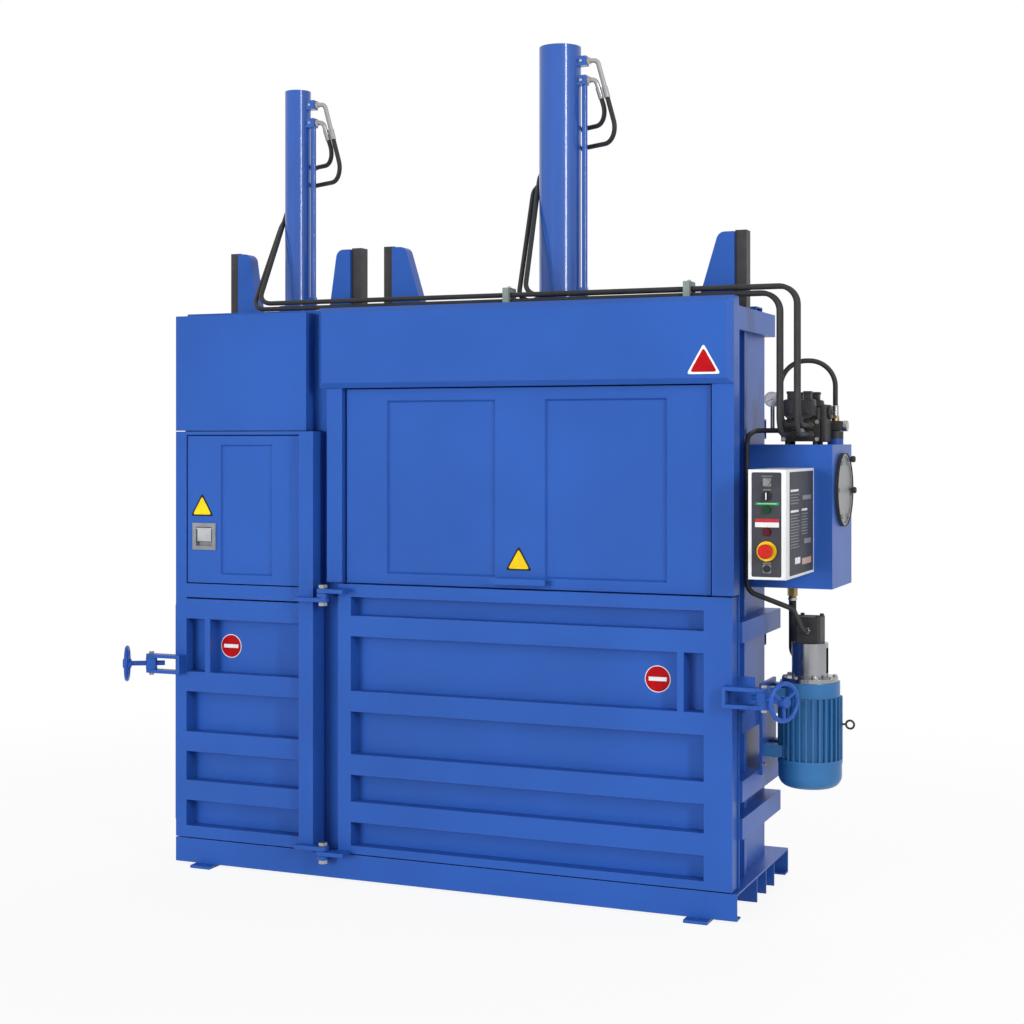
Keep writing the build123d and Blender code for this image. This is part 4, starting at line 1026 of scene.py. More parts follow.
@dataclass(frozen=True)
class Face:
    """A flat upright face, measured across and up from its lower corner."""

    corner: Vector
    across: Vector
    out: Vector

    def point(self, across: float, up: float) -> Vector:
        """A place by its lengths across and up."""
        return self.corner + across * self.across + up * Axis.UP.vector()

    def patch(self, shape: Shape, span: Place, rise: Place, depth: float, cut: float = 0.4 * MM) -> None:
        """Adds a thin plate with rounded corners to a shape.

        Args:
            shape: what it is added to.
            span: its limits across.
            rise: its limits up.
            depth: how far it stands out.
            cut: how far its corners are cut back.
        """
        turns = ((0, 0), (1, 0), (1, 1), (0, 1))
        corners = [self.point(span[first], rise[second]) for first, second in turns]
        shape.plate(rounded_outline(corners, cut), depth * self.out)


@dataclass(frozen=True)
class Strip:
    """A printed bar over a control: how far above it, and half its width and height."""

    finish: Finish
    control: str
    above: float
    half_width: float
    half_height: float
    depth: float = 0.8 * MM


@dataclass(frozen=True)
class Paragraph:
    """A printed heading and its rows: limits across, height of the heading and count of rows."""

    span: Pair
    top: float
    rows: int


@dataclass
class ControlPanel:
    """Printed fields, bars and button bezels on the cabinet's front and cover."""

    film: float = 0.5 * MM
    ink: float = 0.8 * MM
    margin: float = 8.5 * MM
    corner: float = 6.0 * MM
    front_shares: Pair = (0.09, 0.88)
    side_shares: Pair = (0.12, 0.97)
    strips: tuple[Strip, ...] = (
        Strip(PRINT_PALE, "pilot_lamp", 19 * MM, 17 * MM, 1.3 * MM),
        Strip(PRINT_PALE, "selector_knob", 19.5 * MM, 13 * MM, 1.6 * MM),
        Strip(PRINT_GREEN, "start_button", 19 * MM, 38 * MM, 4.2 * MM),
        Strip(PRINT_MINT, "start_button", 19 * MM, 31 * MM, 1.6 * MM, 1.1 * MM),
        Strip(PRINT_RED, "stop_button", 35 * MM, 38 * MM, 5.6 * MM),
        Strip(PRINT_WHITE, "stop_button", 22 * MM, 38 * MM, 7.6 * MM),
        Strip(PRINT_PALE, "jog_button", 17.5 * MM, 12 * MM, 1.6 * MM),
    )
    bezels: tuple[tuple[str, Finish], ...] = (
        ("pilot_lamp", LATCH_PLASTIC),
        ("start_button", BEZEL_GREEN),
        ("stop_button", BEZEL_RED),
        ("jog_button", LATCH_PLASTIC),
    )
    bezel_half: float = 13.2 * MM
    bezel_gap: float = 0.7 * MM
    bezel_depth: float = 2.4 * MM
    paragraphs: tuple[Paragraph, ...] = (
        Paragraph((59 * MM, 178 * MM), 275.5 * MM, 4),
        Paragraph((59 * MM, 178 * MM), 210 * MM, 12),
        Paragraph((210 * MM, 295 * MM), 211 * MM, 8),
    )
    heading_half: float = 3.6 * MM
    heading_share: float = 0.9
    row_half: float = 1.6 * MM
    row_pitch: float = 9.2 * MM
    first_row: float = 1.4
    row_shares: Pair = (0.8, 0.2)
    row_wave: float = 1.7
    blocks: tuple[tuple[Finish, Pair, Pair], ...] = (
        (PRINT_PALE, (223 * MM, 341 * MM), (243 * MM, 257 * MM)),
        (PRINT_PALE, (245 * MM, 341 * MM), (101 * MM, 117 * MM)),
        (PRINT_WHITE, (119 * MM, 190 * MM), (42 * MM, 62 * MM)),
        (PRINT_TAN, (217 * MM, 341 * MM), (35 * MM, 55 * MM)),
    )
    block_corner: float = 1.5 * MM
    mark_half: Pair = (1.6 * MM, 11.0 * MM)
    mark_bevel: float = 0.2 * MM

    def build(self) -> None:
        """Adds both fields, then what is printed or set on them."""
        cabinet, cover = Box.of("control_cabinet"), Box.of("cabinet_cover")
        front = Face(cabinet.low, Axis.RIGHT.vector(), Axis.FRONT.vector())
        side = Face(cover.at(1.0, 0.0, 0.0), Axis.REAR.vector(), Axis.RIGHT.vector())
        rise = (self.margin, cabinet.high.z - cabinet.low.z - self.margin)
        lengths = (cover.high.x - cabinet.low.x, cover.high.y - cover.low.y)
        fields = (("front_field", front, self.front_shares), ("side_field", side, self.side_shares))
        for (name, face, shares), length in zip(fields, lengths):
            shape = Shape()
            face.patch(shape, [share * length for share in shares], rise, self.film, self.corner)
            shape.piece(name, Body.FRAME, LABEL_GREY)
        self._front(front)
        self._side(side)
        self._selector_mark()

    def _front(self, face: Face) -> None:
        """Prints the bars and sets the bezels on the front.

        Args:
            face: the cabinet's front.
        """
        for index, strip in enumerate(self.strips):
            middle = Box.of(strip.control).middle() - face.corner
            shape = Shape()
            span = (middle.x - strip.half_width, middle.x + strip.half_width)
            rise = (middle.z + strip.above - strip.half_height, middle.z + strip.above + strip.half_height)
            face.patch(shape, span, rise, strip.depth)
            shape.piece(f"front_print_{index}", Body.FRAME, strip.finish)
        for control, finish in self.bezels:
            box = Box.of(control)
            centre = box.middle()
            centre.y = face.corner.y
            bore = (box.high.x - box.low.x) / 2 + self.bezel_gap
            collar = Shape().collar(centre, Axis.FRONT.value, self.bezel_half, bore, self.bezel_depth)
            collar.piece(f"{control}_bezel", Body.FRAME, finish)

    def _side(self, face: Face) -> None:
        """Prints headings, rows and plain blocks on the cover.

        Args:
            face: the cover's outside.
        """
        headings, rows = Shape(), Shape()
        shortest, ragged = self.row_shares
        for paragraph in self.paragraphs:
            left, right = paragraph.span
            rise = (paragraph.top - self.heading_half, paragraph.top + self.heading_half)
            face.patch(headings, (left, left + self.heading_share * (right - left)), rise, self.ink)
            for row in range(paragraph.rows):
                middle = paragraph.top - (row + self.first_row) * self.row_pitch
                share = shortest + ragged * abs(math.cos(self.row_wave * row))
                span = (left, left + share * (right - left))
                face.patch(rows, span, (middle - self.row_half, middle + self.row_half), self.ink)
        headings.piece("side_headings", Body.FRAME, PRINT_WHITE)
        rows.piece("side_rows", Body.FRAME, PRINT_PALE)
        for index, (finish, span, rise) in enumerate(self.blocks):
            shape = Shape()
            face.patch(shape, span, rise, self.ink, self.block_corner)
            shape.piece(f"side_block_{index}", Body.FRAME, finish)

    def _selector_mark(self) -> None:
        """Adds the pale line along the selector's grip."""
        middle = Box.of("selector_knob").at(0.5, 0.0, 0.5)
        wide, tall = self.mark_half
        half = Vector((wide, self.film, tall))
        mark = Shape().box(middle - half, middle + half, self.mark_bevel)
        mark.piece("selector_mark", Body.SELECTOR, PRINT_WHITE)


@dataclass
class GaugeDial:
    """Pale dial with ticks, a needle and a bright rim on the pressure gauge."""

    radius: float = 26.0 * MM
    rim: float = 1.8 * MM
    layer: float = 0.6 * MM
    rim_layers: int = 2
    dial_layers: int = 3
    mark_layers: int = 4
    tick_count: int = 21
    tick_sweep: float = 270.0
    tick_half: float = 0.45 * MM
    long_every: int = 5
    long_reach: Pair = (0.7, 0.93)
    short_reach: Pair = (0.8, 0.93)
    needle_angle: float = -120.0
    needle_half: float = 0.8 * MM
    needle_reach: Pair = (-0.2, 0.75)

    def build(self) -> None:
        """Adds the rim, the dial and its marks."""
        box = Box.of("pressure_gauge")
        centre = Vector((box.low.x + self.radius, box.low.y, box.high.z - self.radius))
        face = self.radius - self.rim
        rim = ("gauge_rim", self.radius, self.rim_layers, ZINC)
        dial = ("gauge_dial", face, self.dial_layers, DIAL_WHITE)
        for name, radius, layers, finish in (rim, dial):
            profile = [(0.0, radius), (layers * self.layer, radius)]
            Shape().turned(centre, Axis.FRONT.value, profile).piece(name, Body.FRAME, finish)
        marks = Shape()
        for index in range(self.tick_count):
            degrees = self.tick_sweep * (index / (self.tick_count - 1) - 0.5)
            reach = self.long_reach if index % self.long_every == 0 else self.short_reach
            self._mark(marks, centre, degrees, [share * face for share in reach], self.tick_half)
        reach = [share * face for share in self.needle_reach]
        self._mark(marks, centre, self.needle_angle, reach, self.needle_half)
        marks.piece("gauge_marks", Body.FRAME, PRINT_BLACK)

    def _mark(self, shape: Shape, centre: Vector, degrees: float, reach: Place, half: float) -> None:
        """Adds one radial mark.

        Args:
            shape: what it is added to.
            centre: the dial's centre.
            degrees: its angle from upright.
            reach: where it starts and ends, from the dial's centre.
            half: half its width.
        """
        angle = math.radians(degrees)
        along = Vector((math.sin(angle), 0.0, math.cos(angle)))
        across = half * Vector((math.cos(angle), 0.0, -math.sin(angle)))
        start, end = (centre + length * along for length in reach)
        outline = [start - across, end - across, end + across, start + across]
        shape.plate(outline, Vector((0.0, -self.mark_layers * self.layer, 0.0)))


@dataclass
class HoseFittings:
    """Nuts, crimped sleeves, rings and bands at the hoses' ends."""

    hose_radius: float = 8.5 * MM
    round_sides: int = 28
    nut_radius: float = 13.0 * MM
    nut_length: float = 13.0 * MM
    nut_chamfer: Pair = (0.8, 0.86)
    sleeve_length: float = 42.0 * MM
    sleeve_chamfer: float = 1.2 * MM
    groove_count: int = 4
    groove: Profile = ((-1.4 * MM, 0.0), (-0.8 * MM, 0.8 * MM), (0.8 * MM, 0.8 * MM), (1.4 * MM, 0.0))
    port_drop: float = 55.0 * MM
    port_sleeve_drop: float = 96.0 * MM
    port_sleeve_wall: float = 2.2 * MM
    ports: tuple[tuple[Triple, Triple, Triple], ...] = (
        ((0.0, 0.0, 0.0), (38 * MM, 0.0, 0.0), (119 * MM, 0.0, -291 * MM)),
        ((0.0, 0.0, -68 * MM), (32 * MM, 0.0, -68 * MM), (72 * MM, 24 * MM, -222 * MM)),
    )
    plug_step: Triple = (-22.0 * MM, -17.0 * MM, 0.0)
    plug_radius: float = 6.5 * MM
    plug_sides: int = 24
    plug_dome: Profile = ((0.0, 1.0), (1.5 * MM, 1.0), (3.0 * MM, 0.75), (3.8 * MM, 0.35))
    block_steps: Pair = (57.0 * MM, 30.0 * MM)
    block_sleeve_wall: float = 2.4 * MM
    ring_wall: float = 3.2 * MM
    ring_length: float = 3.0 * MM
    side_nuts: tuple[Triple, ...] = ((70 * MM, 1584 * MM, 5 * MM), (1 * MM, 1584 * MM, 14 * MM))
    pump_port_z: float = 915.0 * MM
    pump_band_gap: float = 6.0 * MM
    tank_band_inset: float = 18.0 * MM
    tank_band_y: float = 161.0 * MM
    tank_band_drop: float = 62.0 * MM
    band_radius: float = 15.2 * MM
    band_width: float = 11.0 * MM
    band_sides: int = 36
    lock_half: float = 6.0 * MM
    lock_rise: float = 3.0 * MM
    lock_bevel: float = 1.5 * MM
    filter_nut_length: float = 8.0 * MM
    filter_sleeve_length: float = 34.0 * MM
    filter_sleeve_wall: float = 2.6 * MM
    bright: Shape = field(default_factory=Shape)
    dark: Shape = field(default_factory=Shape)
    brass: Shape = field(default_factory=Shape)

    def build(self) -> None:
        """Adds the fittings of every hose."""
        for barrel in ("large_barrel", "small_barrel"):
            self._barrel_ports(Box.of(barrel))
        self._block_ends(Box.of("valve_block"), Box.of("press_hoses"))
        self._pump_ends(Box.of("pump_block"), Box.of("suction_hose"))
        self._filter_end(Box.of("return_filter"))
        self.bright.piece("hose_fittings_bright", Body.FRAME, ZINC)
        self.dark.piece("hose_fittings_dark", Body.FRAME, IRON)
        self.brass.piece("hose_fittings_brass", Body.FRAME, BRASS)

    def _sleeve(self, shape: Shape, start: Vector, along: Vector, length: float, wall: float) -> None:
        """Adds a crimped sleeve with shallow grooves.

        Args:
            shape: what it is added to.
            start: its near end.
            along: its direction.
            length: its length.
            wall: its thickness over the hose.
        """
        radius = self.hose_radius + wall
        chamfer = self.sleeve_chamfer
        profile = [(0.0, radius - chamfer), (chamfer, radius)]
        for index in range(self.groove_count):
            middle = (index + 1) * length / (self.groove_count + 1)
            profile += [(middle + shift, radius - sunk) for shift, sunk in self.groove]
        profile += [(length - chamfer, radius), (length, radius - chamfer)]
        shape.turned(start, along, profile, self.round_sides)

    def _nut(self, shape: Shape, start: Vector, along: Vector, length: float) -> None:
        """Adds a chamfered hexagon nut.

        Args:
            shape: what it is added to.
            start: its near end.
            along: its direction.
            length: its length.
        """
        radius = self.nut_radius
        flat, tip = self.nut_chamfer
        profile = [(0.0, radius), (flat * length, radius), (length, tip * radius)]
        shape.turned(start, along, profile, HEX_SIDES)

    def _barrel_ports(self, barrel: Box) -> None:
        """Adds nuts, sleeves and bleed plugs to a barrel's two ports.

        Args:
            barrel: the barrel's box.
        """
        port = Vector((barrel.high.x, barrel.middle().y, barrel.high.z - self.port_drop))
        sleeve_z = port.z - self.port_sleeve_drop
        dome = [(distance, share * self.plug_radius) for distance, share in self.plug_dome]
        for line in self.ports:
            start, elbow, end = (port + Vector(step) for step in line)
            self._nut(self.bright, start, Axis.RIGHT.vector(), self.nut_length)
            share = (elbow.z - sleeve_z) / (elbow.z - end.z)
            near = elbow + share * (end - elbow)
            along = (end - elbow).normalized()
            self._sleeve(self.bright, near, along, self.sleeve_length, self.port_sleeve_wall)
            self.bright.turned(start + Vector(self.plug_step), Axis.FRONT.value, dome, self.plug_sides)

    def _block_ends(self, block: Box, hoses: Box) -> None:
        """Adds the fittings on the valve block's front and left.

        Args:
            block: the valve block's box.
            hoses: the press hoses' box, whose right and low limits the four ends share.
        """
        front = Axis.FRONT.vector()
        across, rise = self.block_steps
        radius = self.hose_radius + self.ring_wall
        ring = [(0.0, radius), (self.ring_length, radius)]
        for column in range(2):
            for row in range(2):
                x = hoses.high.x - self.hose_radius - column * across
                z = hoses.low.z + self.hose_radius + row * rise
                start = Vector((x, block.low.y, z))
                self._nut(self.dark, start, front, self.nut_length)
                self.brass.turned(start + self.nut_length * front, front, ring, self.round_sides)
                near = start + (self.nut_length + self.ring_length) * front
                self._sleeve(self.dark, near, front, self.sleeve_length, self.block_sleeve_wall)
        for y, z, length in self.side_nuts:
            self._nut(self.bright, Vector((block.low.x, y, z)), Axis.LEFT.vector(), length)

    def _pump_ends(self, pump: Box, suction: Box) -> None:
        """Adds the pump's pressure nut and the suction hose's bands.

        Args:
            pump: the pump block's box.
            suction: the suction hose's box, whose top is under the tank.
        """
        x, z = pump.middle().x, self.pump_port_z
        self._nut(self.bright, Vector((x, pump.low.y, z)), Axis.FRONT.vector(), self.nut_length)
        ring = [(0.0, self.band_radius), (self.band_width, self.band_radius)]
        tank_x = suction.low.x + self.tank_band_inset
        tank_end = Vector((tank_x, self.tank_band_y, suction.high.z - self.tank_band_drop))
        pump_end = Vector((x, pump.high.y + self.pump_band_gap, z))
        half = Vector((self.lock_half, self.lock_half, self.lock_half))
        for start, along, lock in ((tank_end, Axis.UP, Axis.FRONT), (pump_end, Axis.REAR, Axis.RIGHT)):
            self.bright.turned(start, along.value, ring, self.band_sides)
            centre = start + self.band_width / 2 * along.vector()
            centre += (self.band_radius + self.lock_rise) * lock.vector()
            self.bright.box(centre - half, centre + half, self.lock_bevel)

    def _filter_end(self, head: Box) -> None:
        """Adds the nut and sleeve above the return filter.

        Args:
            head: the filter's box.
        """
        up = Axis.UP.vector()
        start = head.at(0.5, 0.5, 1.0)
        self._nut(self.bright, start, up, self.filter_nut_length)
        near = start + self.filter_nut_length * up
        self._sleeve(self.bright, near, up, self.filter_sleeve_length, self.filter_sleeve_wall)


@dataclass
class Fasteners:
    """Bolt heads on the power pack and clamps, coil caps, the tank cover's knobs, and its seal with painted
    edge shade.
    """

    flange_height: float = 14.0 * MM
    flange_inset: float = 10.0 * MM
    flange_bolts: int = 8
    flange_turn: float = 22.5
    flange_size: float = 8.0 * MM
    bracket_inset: Pair = (10.0 * MM, 34.0 * MM)
    bracket_size: float = 9.0 * MM
    block_inset: float = 9.0 * MM
    block_size: float = 6.0 * MM
    clamp_width: float = 22.0 * MM
    clamp_inset: float = 2.0 * MM
    clamp_plate: float = 2.5 * MM
    clamp_bevel: float = 0.8 * MM
    clamp_size: float = 7.0 * MM
    cap_drop: float = 4.0 * MM
    cap_sides: int = 24
    cap_profile: Profile = (
        (0.0, 9 * MM),
        (5 * MM, 9 * MM),
        (6 * MM, 8 * MM),
        (6 * MM, 4 * MM),
        (9 * MM, 3.4 * MM),
    )
    # Sizes of the dark ring round the tank's cover: its seal, and painted shade on the cover's edge.
    seal_and_shade_drop: float = 1.5 * MM
    seal_and_shade_wall: float = 2.0 * MM
    seal_and_shade_overlap: float = 0.2 * MM
    seal_and_shade_power: int = 2
    knob_places: tuple[Pair, ...] = ((155 * MM, 1487 * MM), (171 * MM, 1381 * MM))
    knob_sink: float = 2.0 * MM
    knob_sides: int = 28
    knob_profile: Profile = (
        (0.0, 9 * MM),
        (4 * MM, 9 * MM),
        (5 * MM, 11 * MM),
        (14 * MM, 11 * MM),
        (17 * MM, 8 * MM),
    )

    def build(self) -> None:
        """Adds every group."""
        heads = BoltHeads()
        self._flange_bolts(heads)
        self._plate_bolts(heads)
        self._clamp_tops(heads)
        self._coil_caps()
        self._cover_seal_and_shade()
        self._cover_knobs()

    def _flange_bolts(self, heads: BoltHeads) -> None:
        """Adds the ring of bolts on the bell's flange.

        Args:
            heads: the tree that makes the bolts.
        """
        bell = Box.of("bell_housing")
        centre = bell.at(0.5, 0.5, 0.0) + self.flange_height * Axis.UP.vector()
        radius = (bell.high.x - bell.low.x) / 2 - self.flange_inset
        ring = Carrier().ring(centre, Axis.UP, radius, self.flange_bolts, self.flange_turn)
        heads.place("bell_bolts", ring, Axis.UP, self.flange_size)

    def _plate_bolts(self, heads: BoltHeads) -> None:
        """Adds four bolts each on the motor's bracket and the valve block.

        Args:
            heads: the tree that makes the bolts.
        """
        bracket, block = Box.of("motor_bracket"), Box.of("valve_block")
        across, rise = self.bracket_inset
        rows = (bracket.low.z + rise, bracket.high.z - rise)
        columns = (bracket.low.y + across, bracket.high.y - across)
        corners = Carrier([Vector((bracket.high.x, y, z)) for y in columns for z in rows])
        heads.place("bracket_bolts", corners, Axis.RIGHT, self.bracket_size)
        rows = (block.high.z - self.block_inset, block.low.z + 2 * self.block_inset)
        columns = (block.low.x + self.block_inset, block.high.x - self.block_inset)
        corners = Carrier([Vector((x, block.low.y, z)) for x in columns for z in rows])
        heads.place("block_bolts", corners, Axis.FRONT, self.block_size)

    def _clamp_tops(self, heads: BoltHeads) -> None:
        """Adds a plate and a bolt on each pipe clamp.

        Args:
            heads: the tree that makes the bolts.
        """
        clamps = Box.of("pipe_clamps")
        plates, bolts = Shape(), Carrier()
        for left in (clamps.low.x, clamps.high.x - self.clamp_width):
            low = Vector((left, clamps.low.y + self.clamp_inset, clamps.high.z))
            right, top = left + self.clamp_width, clamps.high.z + self.clamp_plate
            high = Vector((right, clamps.high.y - self.clamp_inset, top))
            plates.box(low, high, self.clamp_bevel)
            bolts.points.append(Vector(((left + right) / 2, (low.y + high.y) / 2, top)))
        plates.piece("clamp_plates", Body.FRAME, ZINC)
        heads.place("clamp_bolts", bolts, Axis.UP, self.clamp_size)

    def _coil_caps(self) -> None:
        """Adds a ringed cap on both ends of each valve's coils."""
        coils = Box.of("solenoids")
        height = (Box.of("valve_block").high.z + coils.high.z) / 2 - self.cap_drop
        caps = Shape()
        for x in (coils.low.x + HALF_VALVE, coils.high.x - HALF_VALVE):
            for y, along in ((coils.low.y, Axis.FRONT), (coils.high.y, Axis.REAR)):
                caps.turned((x, y, height), along.value, self.cap_profile, self.cap_sides)
        caps.piece("coil_caps", Body.FRAME, IRON)

    def _cover_seal_and_shade(self) -> None:
        """Adds a dark rubber ring round the tank's cover: partly its seal, partly painted shade over the
        cover's edge.
        """
        cover = Box.of("tank_cover")
        radius = (cover.high.z - cover.low.z) / 2
        outer, inner = radius + self.seal_and_shade_wall, radius - self.seal_and_shade_overlap
        depth = cover.high.x - cover.low.x - self.seal_and_shade_drop
        centre = cover.at(0.0, 0.5, 0.5)
        # The dark ring sleeves the cover's whole edge: a real seal, and painted shade where the edge itself
        # is in shadow.
        seal_and_shade = Shape().collar(centre, Axis.RIGHT.value, outer, inner, depth, self.seal_and_shade_power)
        seal_and_shade.piece("cover_seal_and_shade", Body.FRAME, RUBBER)

    def _cover_knobs(self) -> None:
        """Adds the two knobs of the tank's cover."""
        x = Box.of("tank_cover").high.x - self.knob_sink
        knobs = Shape()
        for y, z in self.knob_places:
            knobs.turned((x, y, z), Axis.RIGHT.value, self.knob_profile, self.knob_sides)
        knobs.piece("cover_knobs", Body.FRAME, IRON)


@dataclass
class TankTop:
    """What stands on the oil tank: coil shells with connectors, the relief valve and the filter's head."""

    shell_half: float = 24.5 * MM
    shell_length: float = 46.0 * MM
    shell_overlap: float = 2.0 * MM
    shell_rise: Pair = (9.0 * MM, 67.0 * MM)
    shell_bevel: float = 8.0 * MM
    connector_half: Pair = (12.0 * MM, 13.0 * MM)
    connector_rise: float = 20.0 * MM
    lid: float = 7.0 * MM
    lid_rim: float = 2.0 * MM
    relief_depth: float = 18.0 * MM
    relief_inset: float = 8.0 * MM
    relief_rise: float = 50.0 * MM
    relief_bevel: float = 4.0 * MM
    relief_cap: Profile = (
        (0.0, 21 * MM),
        (2 * MM, 23.5 * MM),
        (9 * MM, 23.5 * MM),
        (11 * MM, 20 * MM),
        (11 * MM, 9 * MM),
        (15 * MM, 8 * MM),
    )
    relief_cap_share: float = 0.8
    plug_shares: Pair = (0.56, 0.52)
    plug_profile: Profile = ((0.0, 12.5 * MM), (8 * MM, 12.5 * MM), (10 * MM, 10 * MM))
    head_half: Pair = (27.0 * MM, 22.0 * MM)
    head_rise: Pair = (45.5 * MM, 80.0 * MM)
    head_bevel: float = 5.0 * MM
    head_cap: Profile = ((0.0, 17 * MM), (2 * MM, 18.5 * MM), (14 * MM, 18.5 * MM), (16 * MM, 16 * MM))

    def build(self) -> None:
        """Adds every form."""
        block = Box.of("valve_block")
        self._coil_shells(block, Box.of("solenoids"))
        self._relief_valve(block)
        self._filter_head(Box.of("return_filter"))

    def _coil_shells(self, block: Box, coils: Box) -> None:
        """Adds a bevelled shell round each coil, with a lidded connector on it.

        Args:
            block: the valve block's box.
            coils: the coils' box.
        """
        shells, connectors = Shape(), Shape()
        bottom, top = (block.high.z + rise for rise in self.shell_rise)
        neck = top + self.connector_rise
        wide, deep = self.connector_half
        rim = Vector((self.lid_rim, self.lid_rim, 0.0))
        starts = (coils.low.y - self.shell_overlap, coils.high.y + self.shell_overlap - self.shell_length)
        for x in (coils.low.x + HALF_VALVE, coils.high.x - HALF_VALVE):
            for start in starts:
                end, y = start + self.shell_length, start + self.shell_length / 2
                low, high = (x - self.shell_half, start, bottom), (x + self.shell_half, end, top)
                shells.box(low, high, self.shell_bevel)
                low, high = Vector((x - wide, y - deep, top - self.lid)), Vector((x + wide, y + deep, neck))
                connectors.box(low, high, self.lid_rim)
                low.z, high.z = neck - self.lid_rim, neck + self.lid
                connectors.box(low - rim, high + rim, self.lid_rim)
        shells.piece("coil_shells", Body.FRAME, COIL)
        connectors.piece("coil_connectors", Body.FRAME, COIL)

    def _relief_valve(self, block: Box) -> None:
        """Adds the relief valve on the block's right, and a plug on its front.

        Args:
            block: the valve block's box.
        """
        inset = self.relief_inset
        low = Vector((block.high.x, block.low.y + inset, block.low.z + inset))
        right, top = block.high.x + self.relief_depth, block.high.z + self.relief_rise
        high = Vector((right, block.high.y - inset, top))
        valve = Shape().box(low, high, self.relief_bevel)
        cap = Box(low, high).at(1.0, 0.5, self.relief_cap_share)
        valve.turned(cap, Axis.RIGHT.value, self.relief_cap)
        valve.piece("relief_valve", Body.FRAME, IRON)
        across, rise = self.plug_shares
        plug = Shape().turned(block.at(across, 0.0, rise), Axis.FRONT.value, self.plug_profile, HEX_SIDES)
        plug.piece("block_plug", Body.FRAME, ZINC)

    def _filter_head(self, column: Box) -> None:
        """Adds the filter's head with its bright cap round the column.

        Args:
            column: the filter's box.
        """
        middle = column.at(0.5, 0.5, 0.0)
        wide, deep = self.head_half
        bottom, top = (column.low.z + rise for rise in self.head_rise)
        low = Vector((middle.x - wide, middle.y - deep, bottom))
        high = Vector((middle.x + wide, middle.y + deep, top))
        Shape().box(low, high, self.head_bevel).piece("filter_head", Body.FRAME, IRON)
        cap = Box(low, high).at(1.0, 0.5, 0.5)
        Shape().turned(cap, Axis.RIGHT.value, self.head_cap).piece("filter_cap", Body.FRAME, ZINC)


@dataclass(frozen=True)
class RibbedDoor:
    """Where a door's cross bars meet its skin, by limits across and the bars' low edges."""

    name: str
    body: Body
    span: Pair
    lows: tuple[float, ...]


@dataclass
class DoorWelds:
    """Short stitches of weld where the doors' cross bars meet their skins."""

    bar_height: float = 72.0 * MM
    stitch: float = 42.0 * MM
    pitch: float = 155.0 * MM
    bead: float = 2.6 * MM
    doors: tuple[RibbedDoor, ...] = (
        RibbedDoor("small_door_welds", Body.SMALL_DOOR, (-1.01, -0.54), (0.900, 0.634, 0.415, 0.237)),
        RibbedDoor("large_door_welds", Body.LARGE_DOOR, (-0.39, 0.94), (0.864, 0.600, 0.378, 0.212)),
    )

    def build(self) -> None:
        """Adds the stitches of both doors."""
        welds = WeldBeads()
        for door in self.doors:
            carrier = Carrier()
            left, right = door.span
            count = int((right - left) / self.pitch)
            for low in door.lows:
                for index in range(count):
                    start = left + (index + 0.5) * (right - left) / count - self.stitch / 2
                    for z in (low, low + self.bar_height):
                        carrier.line((start, DOOR_SKIN_Y, z), (start + self.stitch, DOOR_SKIN_Y, z))
            welds.place(door.name, door.body, carrier, self.bead)


@dataclass(frozen=True)
class Lamp:
    """A flat lamp: place, width and height, power in watts, and whether glossy surfaces show it."""

    name: str
    place: Triple
    size: Pair
    power: float
    mirrored: bool

    def build(self, aim: Triple) -> None:
        """Adds the lamp to the scene.

        Args:
            aim: what it looks at.
        """
        data = bpy.data.lights.new(self.name, "AREA")
        data.shape = "RECTANGLE"
        data.size, data.size_y = self.size
        data.energy = self.power
        lamp = bpy.data.objects.new(self.name, data)
        lamp.location = self.place
        lamp.visible_glossy = self.mirrored
        along = Vector(aim) - Vector(self.place)
        lamp.rotation_euler = along.to_track_quat("-Z", "Y").to_euler()
        bpy.context.scene.collection.objects.link(lamp)


